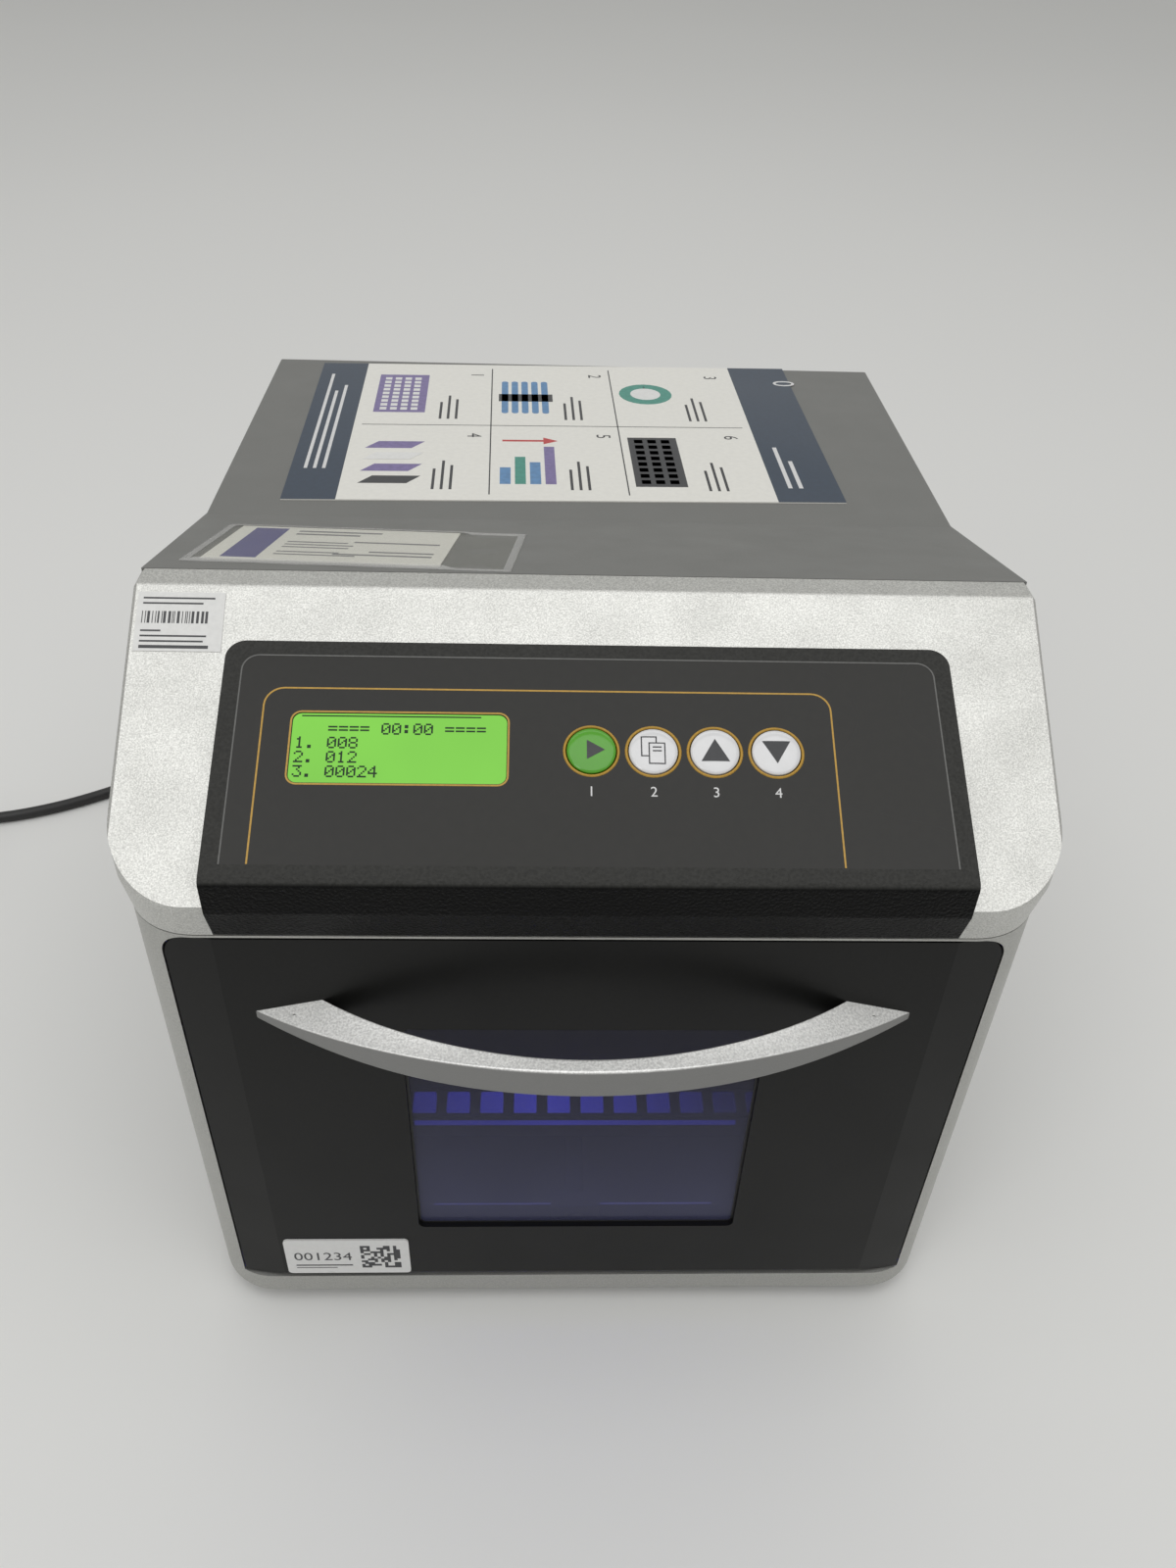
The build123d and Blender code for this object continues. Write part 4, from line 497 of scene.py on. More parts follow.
# ------------------------------------------------------------------ console: lines, rings and keys
LCD = (-102.0, 35.6, -29.0, 61.7)                 # left, low, right, high
KEYS = {"run": -0.3, "menu": 20.8, "up": 41.9, "down": 63.0}
KEY_UP = 48.3
KEY_RADIUS = 8.4
KEY_DEPTH = 5.2
RING_INNER, RING_OUTER, RING_RISE = 8.75, 9.7, 0.45
GOLD_WIDTH = 0.6
GOLD_LINE = (-112.6, 6.6, 83.5, 71.5)             # left, low, right, high
GOLD_RADIUS = 7.0
LCD_LINE_GAP, LCD_LINE_RADIUS = 0.8, 3.8
OVERLAY = (-121.5, 6.4, 121.5, 84.3)
OVERLAY_CORNER = 6.0
RIM_WIDTH = 0.5
DOME_BASE, DOME_RISE = 0.25, 1.05


def gold_lines():
    """The open line round the console's controls, and the closed one round the display."""
    gold = Print(on_console, thick=0.06)
    gold.arch(*GOLD_LINE, GOLD_RADIUS, GOLD_WIDTH)
    left, low, right, high = LCD
    gold.outline(left - LCD_LINE_GAP, low - LCD_LINE_GAP, right + LCD_LINE_GAP, high + LCD_LINE_GAP,
                 LCD_LINE_RADIUS, GOLD_WIDTH)
    gold.make("console_gold_lines", GOLD, "chassis")


def key_ring(name, x):
    """A softly rounded gold ring round a key."""
    around, across = 48, 6
    verts, faces = [], []
    for i in range(around):
        angle = 2 * math.pi * i / around
        for j in range(across + 1):
            share = j / across
            radius = RING_INNER + (RING_OUTER - RING_INNER) * share
            rise = RING_RISE * math.sin(math.pi * share) + 0.02
            verts.append(on_console(x + radius * math.cos(angle), KEY_UP + radius * math.sin(angle), rise))
    row = across + 1
    for i in range(around):
        for j in range(across):
            here, there = i * row + j, (i + 1) % around * row + j
            faces.append((here, here + 1, there + 1, there))
    mesh_object(name, verts, faces, GOLD, "chassis", smooth=True)


def dome_height(x, y):
    """Height of a key's domed top over the console, x and y from its centre."""
    share = min(1.0, math.hypot(x, y) / KEY_RADIUS)
    return DOME_BASE + DOME_RISE * math.sqrt(1 - share ** 4)


def key_dome(key, x, mat):
    """The domed key on its round stem, which stands for the plain one."""
    around, across = 40, 14
    turns = [(math.cos(2 * math.pi * i / around), math.sin(2 * math.pi * i / around)) for i in range(around)]
    verts = [on_console(x, KEY_UP, dome_height(0, 0))]
    for j in range(1, across + 1):
        radius = KEY_RADIUS * math.sin(math.pi / 2 * j / across)
        verts += [on_console(x + radius * c, KEY_UP + radius * s, dome_height(radius * c, radius * s))
                  for c, s in turns]
    verts += [on_console(x + KEY_RADIUS * c, KEY_UP + KEY_RADIUS * s, -KEY_DEPTH) for c, s in turns]
    faces = [(0, 1 + i, 1 + (i + 1) % around) for i in range(around)]
    for j in range(across):
        for i in range(around):
            here, there = 1 + j * around + i, 1 + j * around + (i + 1) % around
            faces.append((here, here + around, there + around, there))
    faces.append(tuple(reversed(range(1 + across * around, 1 + (across + 1) * around))))
    piece = mesh_object(f"{key}_dome", verts, faces, mat, f"{key}_key", smooth=True)
    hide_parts(f"{key}_button")


def key_icon(key, x, outlines):
    """Flat marks on a key's dome, cut fine enough to follow it."""
    marks = bmesh.new()
    for outline in outlines:
        marks.faces.new([marks.verts.new((px, py, 0)) for px, py in outline])
    bmesh.ops.triangulate(marks, faces=marks.faces[:])
    for _ in range(3):
        bmesh.ops.subdivide_edges(marks, edges=marks.edges[:], cuts=1, use_grid_fill=True)
    verts = [on_console(x + v.co.x, KEY_UP + v.co.y, dome_height(v.co.x, v.co.y) + 0.05) for v in marks.verts]
    marks.verts.index_update()
    faces = [tuple(v.index for v in face.verts) for face in marks.faces]
    marks.free()
    mesh_object(f"{key}_icon", verts, faces, INK, f"{key}_key", smooth=True)


def box_marks(x0, y0, x1, y1):
    """A rectangle's outline from two opposite corners."""
    return [(x0, y0), (x1, y0), (x1, y1), (x0, y1)]


def frame_marks(x0, y0, x1, y1, width):
    """Four bars that draw a rectangle's outline."""
    return [
        box_marks(x0, y0, x1, y0 + width),
        box_marks(x0, y1 - width, x1, y1),
        box_marks(x0, y0 + width, x0 + width, y1 - width),
        box_marks(x1 - width, y0 + width, x1, y1 - width),
    ]


ICONS = {
    "run": [[(-1.6, -3.6), (4.6, 0.0), (-1.6, 3.6)]],
    "menu": frame_marks(-1.7, -5.2, 4.1, 2.9, 0.45) + [
        box_marks(-4.3, -2.4, -3.85, 5.2), box_marks(-3.85, 4.75, 1.2, 5.2), box_marks(0.75, 2.9, 1.2, 4.75),
        box_marks(-3.85, -2.4, -1.7, -1.95), box_marks(-0.3, 0.9, 2.8, 1.4), box_marks(-0.3, -0.5, 2.8, 0.0),
    ],
    "up": [[(-4.9, -3.9), (4.9, -3.9), (0.0, 4.5)]],
    "down": [[(-4.9, 3.9), (0.0, -4.5), (4.9, 3.9)]],
}


def overlay_rim():
    """The light that the rounded edge of the overlay's recess catches."""
    rim = Print(on_console, thick=0.05)
    rim.arch(*OVERLAY, OVERLAY_CORNER, RIM_WIDTH)
    rim.make("overlay_rim", RIM, "chassis")


gold_lines()
overlay_rim()
for key, key_x in KEYS.items():
    key_ring(f"{key}_ring", key_x)
    key_dome(key, key_x, KEY_GREEN if key == "run" else KEY_WHITE)
    key_icon(key, key_x, ICONS[key])

# ------------------------------------------------------------------ console: display and key numbers
DOTS = {
    "0": "01110 10001 10011 10101 11001 10001 01110", "1": "00100 01100 00100 00100 00100 00100 01110",
    "2": "01110 10001 00001 00010 00100 01000 11111", "3": "11111 00010 00100 00010 00001 10001 01110",
    "4": "00010 00110 01010 10010 11111 00010 00010", "8": "01110 10001 10001 01110 10001 10001 01110",
    ".": "00000 00000 00000 00000 00000 01100 01100", "=": "00000 00000 11111 00000 11111 00000 00000",
    ":": "00000 01100 01100 00000 01100 01100 00000",
}
DOT = 0.62
CELL_WIDE, CELL_HIGH = 3.6, 5.35
TEXT_IN, TEXT_DOWN = 1.4, 3.6                     # from the display's left and upper edges
LENS_TOP = -0.3                                   # the lens lies this much below the console's face
SCREEN = ("   ==== 00:00 ====", "1. 008", "2. 012", "3. 00024")


def display_characters():
    """The lit film on the lens, rows of characters on it, each of five by seven square dots, and a painted
    shadow along its upper edge.
    """
    left, low, right, high = LCD
    film = Print(on_console, lift=LENS_TOP + 0.02, thick=0.02)
    film.shape(rounded(left + 0.1, low + 0.1, right - 0.1, high - 0.1, 3.0))
    film.make("display_film", LCD_GREEN, "chassis")
    ink = Print(on_console, lift=LENS_TOP + 0.05, thick=0.03)
    for row, line in enumerate(SCREEN):
        for column, char in enumerate(line):
            for i, dots in enumerate(DOTS.get(char, "").split()):
                for j, dot in enumerate(dots):
                    if dot == "1":
                        ink.bar(left + TEXT_IN + column * CELL_WIDE + j * DOT,
                                high - TEXT_DOWN - row * CELL_HIGH - (i + 1) * DOT, DOT, DOT)
    # painted shadow: a dark line along the upper edge of the glass, where the console's edge shades the
    # display
    ink.bar(left + 3, high - 1.3, right - left - 12, 0.5)
    ink.make("display_characters", LCD_DOT, "chassis")


def key_numbers():
    """A plain number under each key."""
    legends = Print(on_console)
    for number, x in enumerate(KEYS.values(), start=1):
        legends.numerals(str(number), x - 1.4, 31.6, 5.2)
    legends.make("key_numbers", LEGEND, "chassis")


display_characters()
key_numbers()

# ------------------------------------------------------------------ labels and cards
ASSET = (-128.0, 26.0, 54.5, 26.0)                # left, low, wide, high on the door
ASSET_THICK = 0.8
CHECK = (-160.0, 90.5, 30.5, 22.5)                # left, low, wide, high on the hood's slope
CHECK_THICK = 0.3
CARD_THICK = 0.5
INK_THICK = 0.04
OVERPRINT = 0.05                                  # lift of print that lies on other print
NAME_CARD = (-98.3, 137.6, 90.0, 55.5)            # middle x, middle depth, wide, deep
NAME_TURN = math.radians(-4.5)
GUIDE_CARD = (-9.0, 293.0, 253.0, 169.0)          # middle x, middle depth, wide, deep
GUIDE_TURN = math.radians(1.5)
NAME_HEIGHT = RIDGE_HEIGHT + math.tan(COVER_PITCH) * (NAME_CARD[1] - RIDGE_DEPTH)

on_name_card = ground(place(NAME_CARD[0], NAME_CARD[1], NAME_HEIGHT), COVER_PITCH, NAME_TURN)
on_guide_card = ground(place(GUIDE_CARD[0], GUIDE_CARD[1], REAR_HEIGHT), 0.0, GUIDE_TURN)


def asset_label():
    """A plain number and a square of random cells."""
    left, low, wide, high = ASSET
    ink = Print(on_door, lift=ASSET_THICK, thick=INK_THICK)
    ink.numerals("001234", left + 3.5, low + 10.5, 8.6)
    ink.bar(left + 4, low + 6.0, 25, 0.9)
    ink.bar(left + 4, low + 4.2, 18, 0.5)
    cells, cell = 12, 1.45
    start_x, start_y = left + wide - cells * cell - 4, low + (high - cells * cell) / 2
    dice = random.Random(7)
    for i in range(cells):
        for j in range(cells):
            if dice.random() < 0.5:
                ink.bar(start_x + i * cell, start_y + j * cell, cell, cell)
    ink.make("asset_print", INK, "door")


def check_label():
    """Bars for print above and below a bar pattern."""
    left, low, wide, high = CHECK
    ink = Print(on_hood, lift=CHECK_THICK, thick=INK_THICK)
    ink.lines(left + 2, low + high - 2.6, (25, 21), 2.0, 0.65)
    ink.lines(left + 2, low + 7.4, (7, 23, 22), 2.0, 0.65)
    ink.lines(left + 2, low + 1.0, (24,), 2.0, 1.2)
    dice = random.Random(3)
    x = left + 2
    while x < left + wide - 6:
        bar_wide = dice.choice((0.3, 0.3, 0.6, 0.9))
        ink.bar(x, low + 10.6, bar_wide, 4.6)
        x += bar_wide + dice.choice((0.3, 0.5, 0.8))
    ink.make("check_print", INK, "chassis")


def name_card():
    """A standing indigo bar and lines of grey bars."""
    half_wide, half_deep = NAME_CARD[2] / 2, NAME_CARD[3] / 2
    stripe = Print(on_name_card, lift=CARD_THICK, thick=INK_THICK)
    stripe.bar(-half_wide + 6.5, -half_deep + 3.5, 13.5, 49)
    stripe.make("name_card_stripe", INDIGO, "chassis")
    ink = Print(on_name_card, lift=CARD_THICK, thick=INK_THICK)
    ink.lines(-20, 20, (34, 26), 5.0, 2.2)
    ink.lines(-20, 2, (24, 27, 26), 4.2, 1.5)
    ink.lines(-20, -14, (24, 31), 4.2, 1.5)
    ink.lines(40, 4, (34,), 5.0, 2.0, from_right=True)
    ink.lines(40, -11, (25, 38), 5.0, 2.0, from_right=True)
    ink.make("name_card_print", GREY_PRINT, "chassis")


SLEEVE_LEFT, SLEEVE_RIGHT, SLEEVE_HALF = -52.0, 72.0, 31.0   # its edges, from the name card's middle
SLEEVE_ACROSS, SLEEVE_ALONG = 112, 52             # faces each way
SLEEVE_THICK = 0.1
SLEEVE_SLOPE, SLEEVE_WELT = 4.0, 3.0              # widths of its slope off the card and of its sealed rim
SLEEVE_LOW, SLEEVE_RISE = 0.12, 0.75              # height beside the card, and how much more there is over it
WELT_RISE, WELT_SPREAD = 0.5, 0.9
RIPPLE = 0.05


def from_rim(x, y):
    """Distance in from the sleeve's edge."""
    return min(x - SLEEVE_LEFT, SLEEVE_RIGHT - x, SLEEVE_HALF - abs(y))


def sleeve_height(x, y):
    """Height of the clear sleeve over the cover: up over the card's edges, with sealed rims."""
    over_x = (NAME_CARD[2] / 2 + 1 + SLEEVE_SLOPE - abs(x)) / SLEEVE_SLOPE
    over_y = (NAME_CARD[3] / 2 + 0.5 + SLEEVE_SLOPE / 2 - abs(y)) / (SLEEVE_SLOPE / 2)
    share = max(0.0, min(1.0, over_x, over_y))
    lift = SLEEVE_LOW + SLEEVE_RISE * share * share * (3 - 2 * share)
    welt = WELT_RISE * math.exp(-((from_rim(x, y) - SLEEVE_WELT / 2) / WELT_SPREAD) ** 2)
    return lift + welt + RIPPLE * math.sin(x * 0.19) * math.cos(y * 0.23)


def sleeve_point(i, j):
    """A place on the sleeve, counted in faces from its lower left corner."""
    x = SLEEVE_LEFT + (SLEEVE_RIGHT - SLEEVE_LEFT) * i / SLEEVE_ACROSS
    y = -SLEEVE_HALF + 2 * SLEEVE_HALF * j / SLEEVE_ALONG
    return x, y


def card_sleeve():
    """The clear plastic sleeve that holds the name card down."""
    verts, faces = [], []
    for j in range(SLEEVE_ALONG + 1):
        for i in range(SLEEVE_ACROSS + 1):
            x, y = sleeve_point(i, j)
            verts.append(on_name_card(x, y, sleeve_height(x, y)))
    row = SLEEVE_ACROSS + 1
    for j in range(SLEEVE_ALONG):
        for i in range(SLEEVE_ACROSS):
            here = j * row + i
            faces.append((here, here + 1, here + row + 1, here + row))
    sheet = mesh_object("card_sleeve", verts, faces, SLEEVE, "chassis", smooth=True)
    # the rim's faces take the lighter film, a painted highlight
    sheet.data.materials.append(SLEEVE_RIM_HIGHLIGHT)
    for face in sheet.data.polygons:
        middle = sleeve_point(face.index % SLEEVE_ACROSS + 0.5, face.index // SLEEVE_ACROSS + 0.5)
        face.material_index = 1 if from_rim(*middle) < SLEEVE_WELT else 0
    skin = sheet.modifiers.new("thickness", "SOLIDIFY")
    skin.thickness = SLEEVE_THICK * MM
    skin.offset = -1


def wells(printed, x, y, columns, rows, pitch, side):
    """A field of squares."""
    for i in range(columns):
        for j in range(rows):
            printed.bar(x + i * pitch, y + j * pitch, side, side)


def guide_card():
    """Ruled cells with plain pictures of tubes, plates and arrows, between dark end bands."""
    half_wide, half_deep = GUIDE_CARD[2] / 2, GUIDE_CARD[3] / 2
    navy, ink, violet, teal, red, blue = (
        Print(on_guide_card, lift=CARD_THICK, thick=INK_THICK) for _ in range(6)
    )
    pale = Print(on_guide_card, lift=CARD_THICK + OVERPRINT, thick=INK_THICK)
    # end bands, and pale lines and a plain number on them
    band_left, band_right = 24.0, 31.0
    navy.bar(-half_wide, -half_deep, band_left, 2 * half_deep)
    navy.bar(half_wide - band_right, -half_deep, band_right, 2 * half_deep)
    over = Print(on_guide_card, lift=CARD_THICK + OVERPRINT, thick=0.03)
    for i, long in enumerate((120, 96, 104)):
        over.bar(-half_wide + 6 + 4.2 * i, -52, 1.6, long)
    over.numerals("0", half_wide - 9, 66, 17, turn=math.radians(-90))
    over.bar(half_wide - 24, -70, 2.0, 46)
    over.bar(half_wide - 19, -70, 2.0, 30)
    over.make("guide_band_print", LEGEND, "chassis")
    # rules between three columns and two rows of cells
    cell_left, cell_right = -half_wide + band_left + 4, half_wide - band_right - 4
    cell_wide = (cell_right - cell_left) / 3
    cell_high = half_deep - 5
    ink.bar(cell_left, -0.3, cell_right - cell_left, 0.6)
    for i in (1, 2):
        ink.bar(cell_left + i * cell_wide, -half_deep + 6, 0.6, 2 * half_deep - 12)
    for number in range(6):
        x = cell_left + (number % 3) * cell_wide
        y = 2.0 if number < 3 else -cell_high
        ink.numerals(str(number + 1), x + cell_wide - 11, y + cell_high - 10, 10, turn=math.radians(-90))
        for i, long in enumerate((26, 31, 22)):
            ink.bar(x + cell_wide - 18 - 4.0 * i, y + 6, 1.3, long)
        if number == 0:                          # a plate of wells
            violet.bar(x + 4, y + 14, 26, 52)
            wells(pale, x + 7, y + 17, 4, 9, 5.2, 3.4)
        elif number == 1:                        # tubes in a rack
            ink.bar(x + 4, y + 30, 28, 10)
            for i in range(5):
                blue.shape(rounded(x + 5.5 + 5.2 * i, y + 14, x + 8.9 + 5.2 * i, y + 58, 1.6, 4))
        elif number == 2:                        # a round dial
            teal.shape(arc(x + 18, y + 42, 14, 0, 345, 23))
            pale.shape(arc(x + 18, y + 42, 8, 0, 345, 23))
            red.shape([(x + 17, y + 42), (x + 19, y + 42), (x + 18, y + 54)])
        elif number == 3:                        # stacked trays
            for i, printed in enumerate((ink, violet, pale, violet)):
                printed.shape([(x + 4, y + 12 + 13 * i), (x + 26, y + 12 + 13 * i), (x + 32, y + 20 + 13 * i),
                               (x + 10, y + 20 + 13 * i)])
        elif number == 4:                        # a bar chart with an arrow
            for i, high in enumerate((18, 30, 24, 42)):
                (blue, teal, blue, violet)[i].bar(x + 5 + 7 * i, y + 12, 5, high)
            red.bar(x + 6, y + 60, 20, 2)
            red.shape([(x + 26, y + 57), (x + 33, y + 61), (x + 26, y + 65)])
        else:                                    # a dark block with open seats
            ink.bar(x + 4, y + 10, 24, 56)
            wells(violet, x + 7, y + 13, 3, 8, 6.6, 4.2)
    for name, printed, mat in (("bands", navy, NAVY), ("ink", ink, INK), ("violet", violet, VIOLET),
                               ("teal", teal, TEAL), ("red", red, BRICK), ("blue", blue, SKY)):
        printed.make(f"guide_{name}", mat, "chassis")
    pale.make("guide_pale", PAPER, "chassis")


asset_label()
check_label()
name_card()
card_sleeve()
guide_card()

# ------------------------------------------------------------------ inside the window
POSITIONS, POSITION_PITCH = 16, 15.4
WELL_SIDE, WELL_WALL, WELL_SUNK = 10.3, 0.8, 1.2  # an insert's width, its rim's width, its top's depth
WELL_DEPTH, WELL_TOP, WELL_FLOOR = 54.5, 76.8, 72.05
PLATFORM_FRONT, PLATFORM_TOP = 43.0, 75.0
FLOOR_EDGE_DEPTH, FLOOR_EDGE_HEIGHT = 35.5, 23.0  # the chamber floor's edge, lit by a strip of painted lamp light
GASKET_IN, GASKET_CORNER, GASKET_WIDE = 6.0, 2.5, 0.9   # its place is counted in from the pane's hidden edge
SEAM_SIDES = ((159.5, 159.8), (-159.8, -159.5))   # the tape's two faces at each side
SEAM_DEPTHS, SEAM_HEIGHTS = (40, 98), (234, 245)


def lit_wells():
    """Blue inserts in the heated block's seats, glowing as painted lamp light that fades towards the ends of
    the row.
    """
    verts, faces = [], []
    for i in range(POSITIONS):
        x = (i - (POSITIONS - 1) / 2) * POSITION_PITCH
        first = len(verts)
        half = WELL_SIDE / 2
        plan = rounded(x - half, -half, x + half, half, 1.0, 3)
        inside = half - WELL_WALL
        inner = rounded(x - inside, -inside, x + inside, inside, 0.6, 3)
        count = len(plan)
        sunk = WELL_TOP - WELL_SUNK
        for outline, z in ((plan, WELL_FLOOR), (plan, WELL_TOP), (inner, WELL_TOP), (inner, sunk)):
            verts += [place(px, WELL_DEPTH + py, z) for px, py in outline]
        for level in range(3):
            for j in range(count):
                k = (j + 1) % count
                low, high = first + level * count, first + (level + 1) * count
                faces.append((low + j, low + k, high + k, high + j))
        faces.append(tuple(range(first + 3 * count, first + 4 * count)))
        faces.append(tuple(reversed(range(first, first + count))))
    mesh_object("position_inserts", verts, faces, WELL_GLOW, "platform")


def edge_strip(name, half_long, depth, low, high, thick, mat, body):
    """A thin rounded strip along an edge of the platform or the chamber."""
    profile = arc(0, 0, 0.5, 90, 270, 6)
    verts, faces = [], []
    for x in (-half_long, half_long):
        for px, pz in profile:
            verts.append(place(x, depth + px * 2 * thick, (low + high) / 2 + pz * (high - low)))
        verts.append(place(x, depth, low))
        verts.append(place(x, depth, high))
    count = len(profile) + 2
    faces.append(tuple(range(count)))
    faces.append(tuple(reversed(range(count, 2 * count))))
    for i in range(count):
        j = (i + 1) % count
        faces.append((j, i, i + count, j + count))
    mesh_object(name, verts, faces, mat, body)


def window_gasket():
    """A thin black line round the window, on its front face."""
    low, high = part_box("door_window")
    line = Print(ground(Vector((0, low.y, 0)), math.radians(90)), thick=0.05)
    line.outline(low.x / MM + GASKET_IN, low.z / MM + GASKET_IN, high.x / MM - GASKET_IN,
                 high.z / MM - GASKET_IN, GASKET_CORNER, GASKET_WIDE)
    line.make("window_gasket", BLACK, "door")


def seam_tape():
    """Black tape behind the hood's lower side seams, so that the lamp doesn't shine out through them."""
    verts, faces = [], []
    for sides in SEAM_SIDES:
        first = len(verts)
        verts += [place(x, depth, z) for x in sides for depth in SEAM_DEPTHS for z in SEAM_HEIGHTS]
        for corners in ((0, 1, 3, 2), (4, 6, 7, 5), (0, 4, 5, 1), (2, 3, 7, 6), (0, 2, 6, 4), (1, 5, 7, 3)):
            faces.append([first + corner for corner in corners])
    mesh_object("seam_tape", verts, faces, RUBBER, "chassis")


lit_wells()
# painted light: a glowing strip for the lamp's light along the platform's front edge
edge_strip("platform_edge_painted_glow", half_long=73, depth=PLATFORM_FRONT, low=PLATFORM_TOP - 0.6,
           high=PLATFORM_TOP + 2.8, thick=0.5, mat=EDGE_GLOW, body="platform")
# painted light: a glowing strip along the chamber floor's edge
edge_strip("floor_edge_painted_glow", half_long=66, depth=FLOOR_EDGE_DEPTH, low=FLOOR_EDGE_HEIGHT,
           high=FLOOR_EDGE_HEIGHT + 1.0, thick=0.4, mat=FAINT_GLOW, body="chassis")
window_gasket()
seam_tape()

# ------------------------------------------------------------------ mains cord
CORD_DIAMETER = 7.2 * MM
CORD_LIE = 3.7                                    # height of its middle where it lies on the floor
CORD_ROUTE = [
    (-100.0, 428.8, 49.0),
    (-100.0, 462.0, 49.0),
    (-116.0, 489.0, 38.0),
    (-146.0, 502.0, 17.0),
    (-186.0, 489.0, CORD_LIE),
    (-222.0, 457.0, CORD_LIE),
    (-251.0, 423.0, CORD_LIE),
    (-283.0, 390.0, CORD_LIE),
    (-317.7, 366.0, CORD_LIE),
    (-346.8, 350.5, CORD_LIE),
    (-379.0, 339.8, CORD_LIE),
    (-410.0, 337.5, CORD_LIE),
]
COIL_MIDDLE = (-440.0, 298.0)
COIL_PITCH = 7.3                                  # from one layer to the next
COIL_LANES = [(43.2, 0), (35.9, 0), (35.9, 1), (43.2, 1), (43.2, 2), (43.2, 2)]   # radius and layer of a turn
COIL_STEPS = 16


def coil_points():
    """Five and a quarter turns: in, up, out and up again, then off along the coil's left side."""
    points = []
    last = len(COIL_LANES) - 1
    for lane, (radius, layer) in enumerate(COIL_LANES):
        next_radius, next_layer = COIL_LANES[min(lane + 1, last)]
        for step in range(COIL_STEPS if lane < last else COIL_STEPS // 4):
            share = step / COIL_STEPS
            shift = max(0.0, 4 * share - 3)          # towards the next lane, over a turn's last quarter
            reach = radius + (next_radius - radius) * shift
            height = CORD_LIE + COIL_PITCH * (layer + (next_layer - layer) * shift)
            angle = math.pi / 2 + 2 * math.pi * share
            x = COIL_MIDDLE[0] + reach * math.cos(angle)
            points.append((x, COIL_MIDDLE[1] + reach * math.sin(angle), height))
    return points


def mains_cord():
    """The mains lead, from its connector round the coil to its plug."""
    plug_low, plug_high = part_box("mains_plug")
    plug_line = (plug_low.x + plug_high.x) / 2 / MM
    plug_mouth = (plug_high.y - FRONT) / MM
    tail = [
        (plug_line, COIL_MIDDLE[1], CORD_LIE + 2 * COIL_PITCH),
        (plug_line, plug_mouth + 6, 12.0),
        (plug_line, plug_mouth - 2, 11.0),
    ]
    points = CORD_ROUTE + coil_points() + tail
    curve = bpy.data.curves.new("mains_cord", "CURVE")
    curve.dimensions = "3D"
    spline = curve.splines.new("NURBS")
    spline.points.add(len(points) - 1)
    for point, (x, depth, z) in zip(spline.points, points):
        point.co = (*place(x, depth, z), 1)
    spline.order_u = 3
    spline.use_endpoint_u = True
    curve.bevel_depth = CORD_DIAMETER / 2
    curve.bevel_resolution = 4
    curve.resolution_u = 6
    curve.materials.append(CABLE)
    cord = bpy.data.objects.new("mains_cord", curve)
    bpy.context.scene.collection.objects.link(cord)
    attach(cord, "chassis")
    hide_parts("power_cord", "cord_coil")


mains_cord()


# ------------------------------------------------------------------ floor, light and world
FLOOR_REACH = 60.0                                # metres each way
FLOOR_DARK, FLOOR_PALE = (0.835, 0.835, 0.82), (0.845, 0.845, 0.83)
HORIZON = 0.382                                   # the tone of the far floor, so that no horizon shows


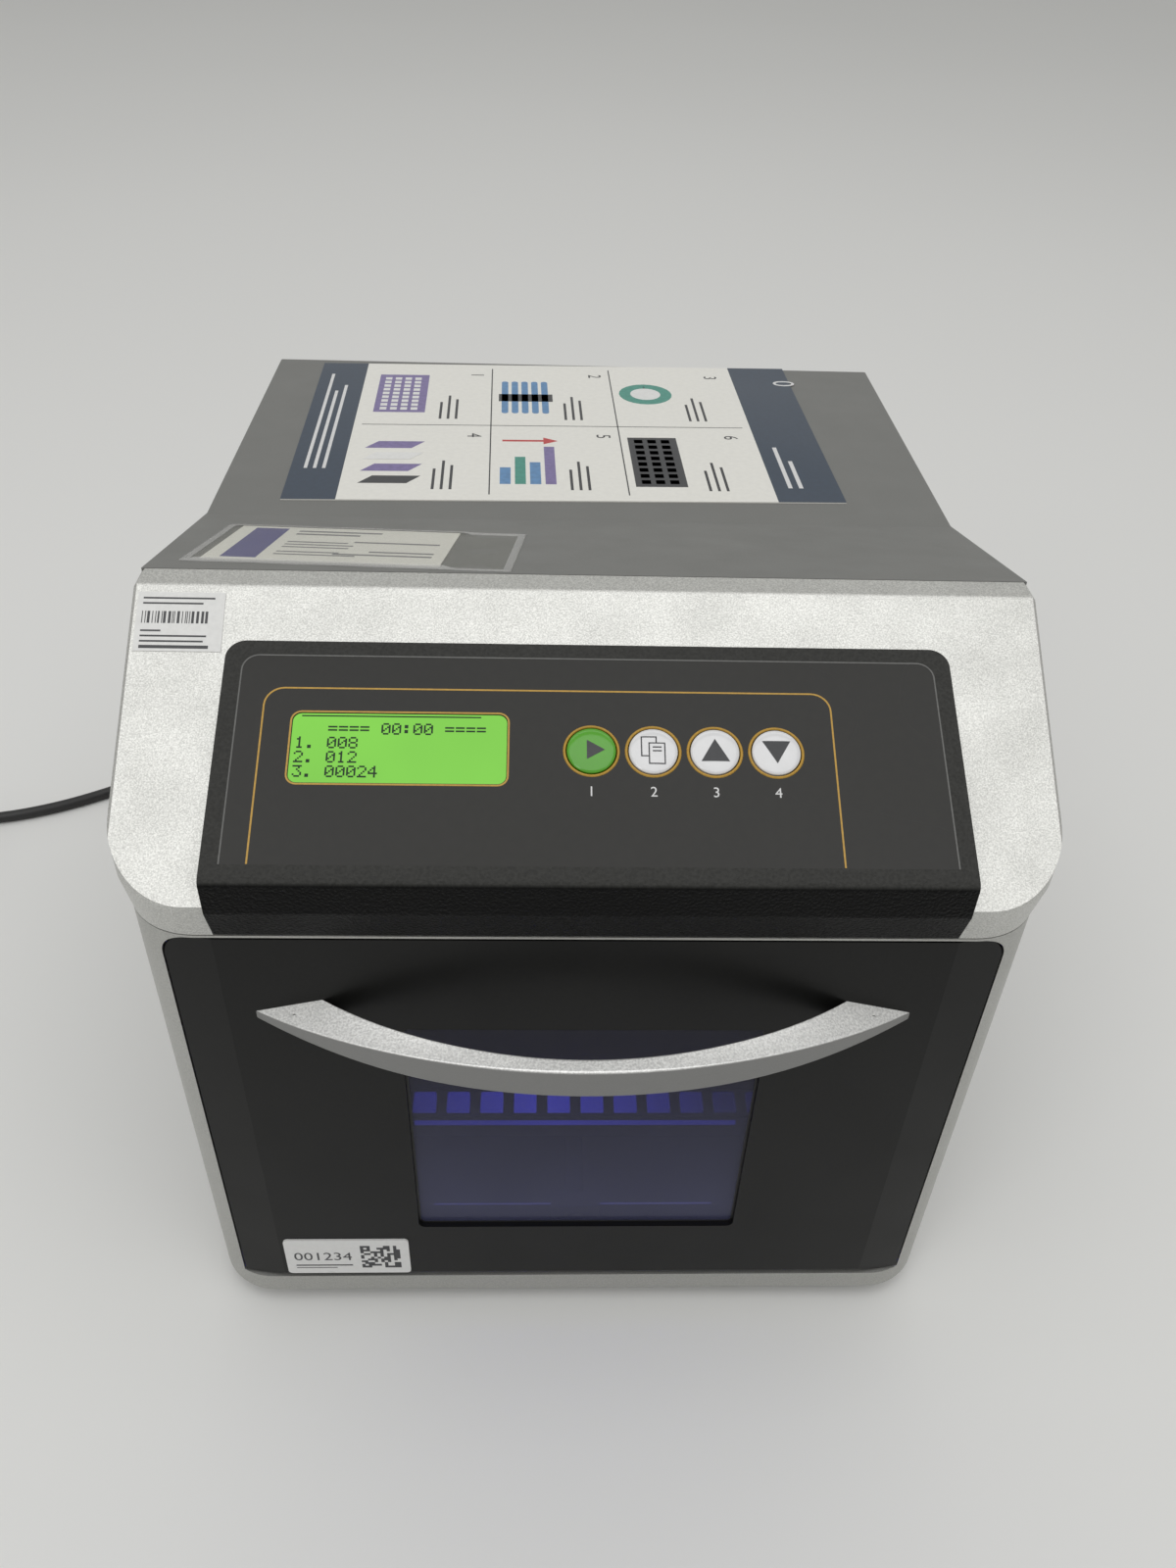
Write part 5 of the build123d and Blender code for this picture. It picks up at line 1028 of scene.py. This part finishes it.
def stage_floor():
    """A pale floor, wide enough that its edge is never seen."""
    mat, tree, shader = new_material("floor_paint")
    haze = noise(tree, 0.7, 1.0)
    tree.links.new(colours(tree, haze, FLOOR_DARK, FLOOR_PALE), shader.inputs["Base Color"])
    shader.inputs["Roughness"].default_value = 0.7
    corners = [(x * FLOOR_REACH, y * FLOOR_REACH, 0) for x, y in ((-1, -1), (1, -1), (1, 1), (-1, 1))]
    mesh = bpy.data.meshes.new("floor")
    mesh.from_pydata(corners, [], [(0, 1, 2, 3)])
    mesh.materials.append(mat)
    obj = bpy.data.objects.new("floor", mesh)
    bpy.context.scene.collection.objects.link(obj)


def area_light(name, where, aim, size, power):
    """A rectangular lamp, its place, aim and size in metres and its power in watts."""
    data = bpy.data.lights.new(name, "AREA")
    data.shape = "RECTANGLE"
    data.size, data.size_y = size
    data.energy = power
    obj = bpy.data.objects.new(name, data)
    bpy.context.scene.collection.objects.link(obj)
    obj.location = where
    obj.rotation_euler = (Vector(aim) - Vector(where)).to_track_quat("-Z", "Y").to_euler()


stage_floor()
area_light("overhead", where=(0.05, -0.75, 2.3), aim=(0.0, -0.1, 0.2), size=(3.0, 2.0), power=23)
area_light("key", where=(-1.3, -1.7, 1.7), aim=(0.0, 0.0, 0.15), size=(0.9, 0.9), power=5)
area_light("back", where=(0.0, 1.2, 3.0), aim=(0.0, 3.0, 0.6), size=(3.5, 1.0), power=13)


def make_world():
    """Even room light, a pale room that gloss and glass reflect, and the far floor's tone behind the part."""
    world = bpy.data.worlds.new("room")
    world.use_nodes = True
    tree = world.node_tree
    room = tree.nodes["Background"]
    room.inputs["Color"].default_value = (0.80, 0.80, 0.785, 1)
    room.inputs["Strength"].default_value = 0.52
    path = tree.nodes.new("ShaderNodeLightPath")
    reflected = (0.60, 0.60, 0.585)
    behind = (HORIZON, HORIZON, HORIZON * 0.96)
    result = room
    seen_by = {"Is Glossy Ray": reflected, "Is Transmission Ray": reflected, "Is Camera Ray": behind}
    for ray, tone in seen_by.items():
        seen = tree.nodes.new("ShaderNodeBackground")
        seen.inputs["Color"].default_value = (*tone, 1)
        mix = tree.nodes.new("ShaderNodeMixShader")
        tree.links.new(path.outputs[ray], mix.inputs["Fac"])
        tree.links.new(result.outputs[0], mix.inputs[1])
        tree.links.new(seen.outputs[0], mix.inputs[2])
        result = mix
    tree.links.new(result.outputs[0], tree.nodes["World Output"].inputs["Surface"])
    return world


bpy.context.scene.world = make_world()
bpy.context.scene.view_settings.view_transform = "Standard"
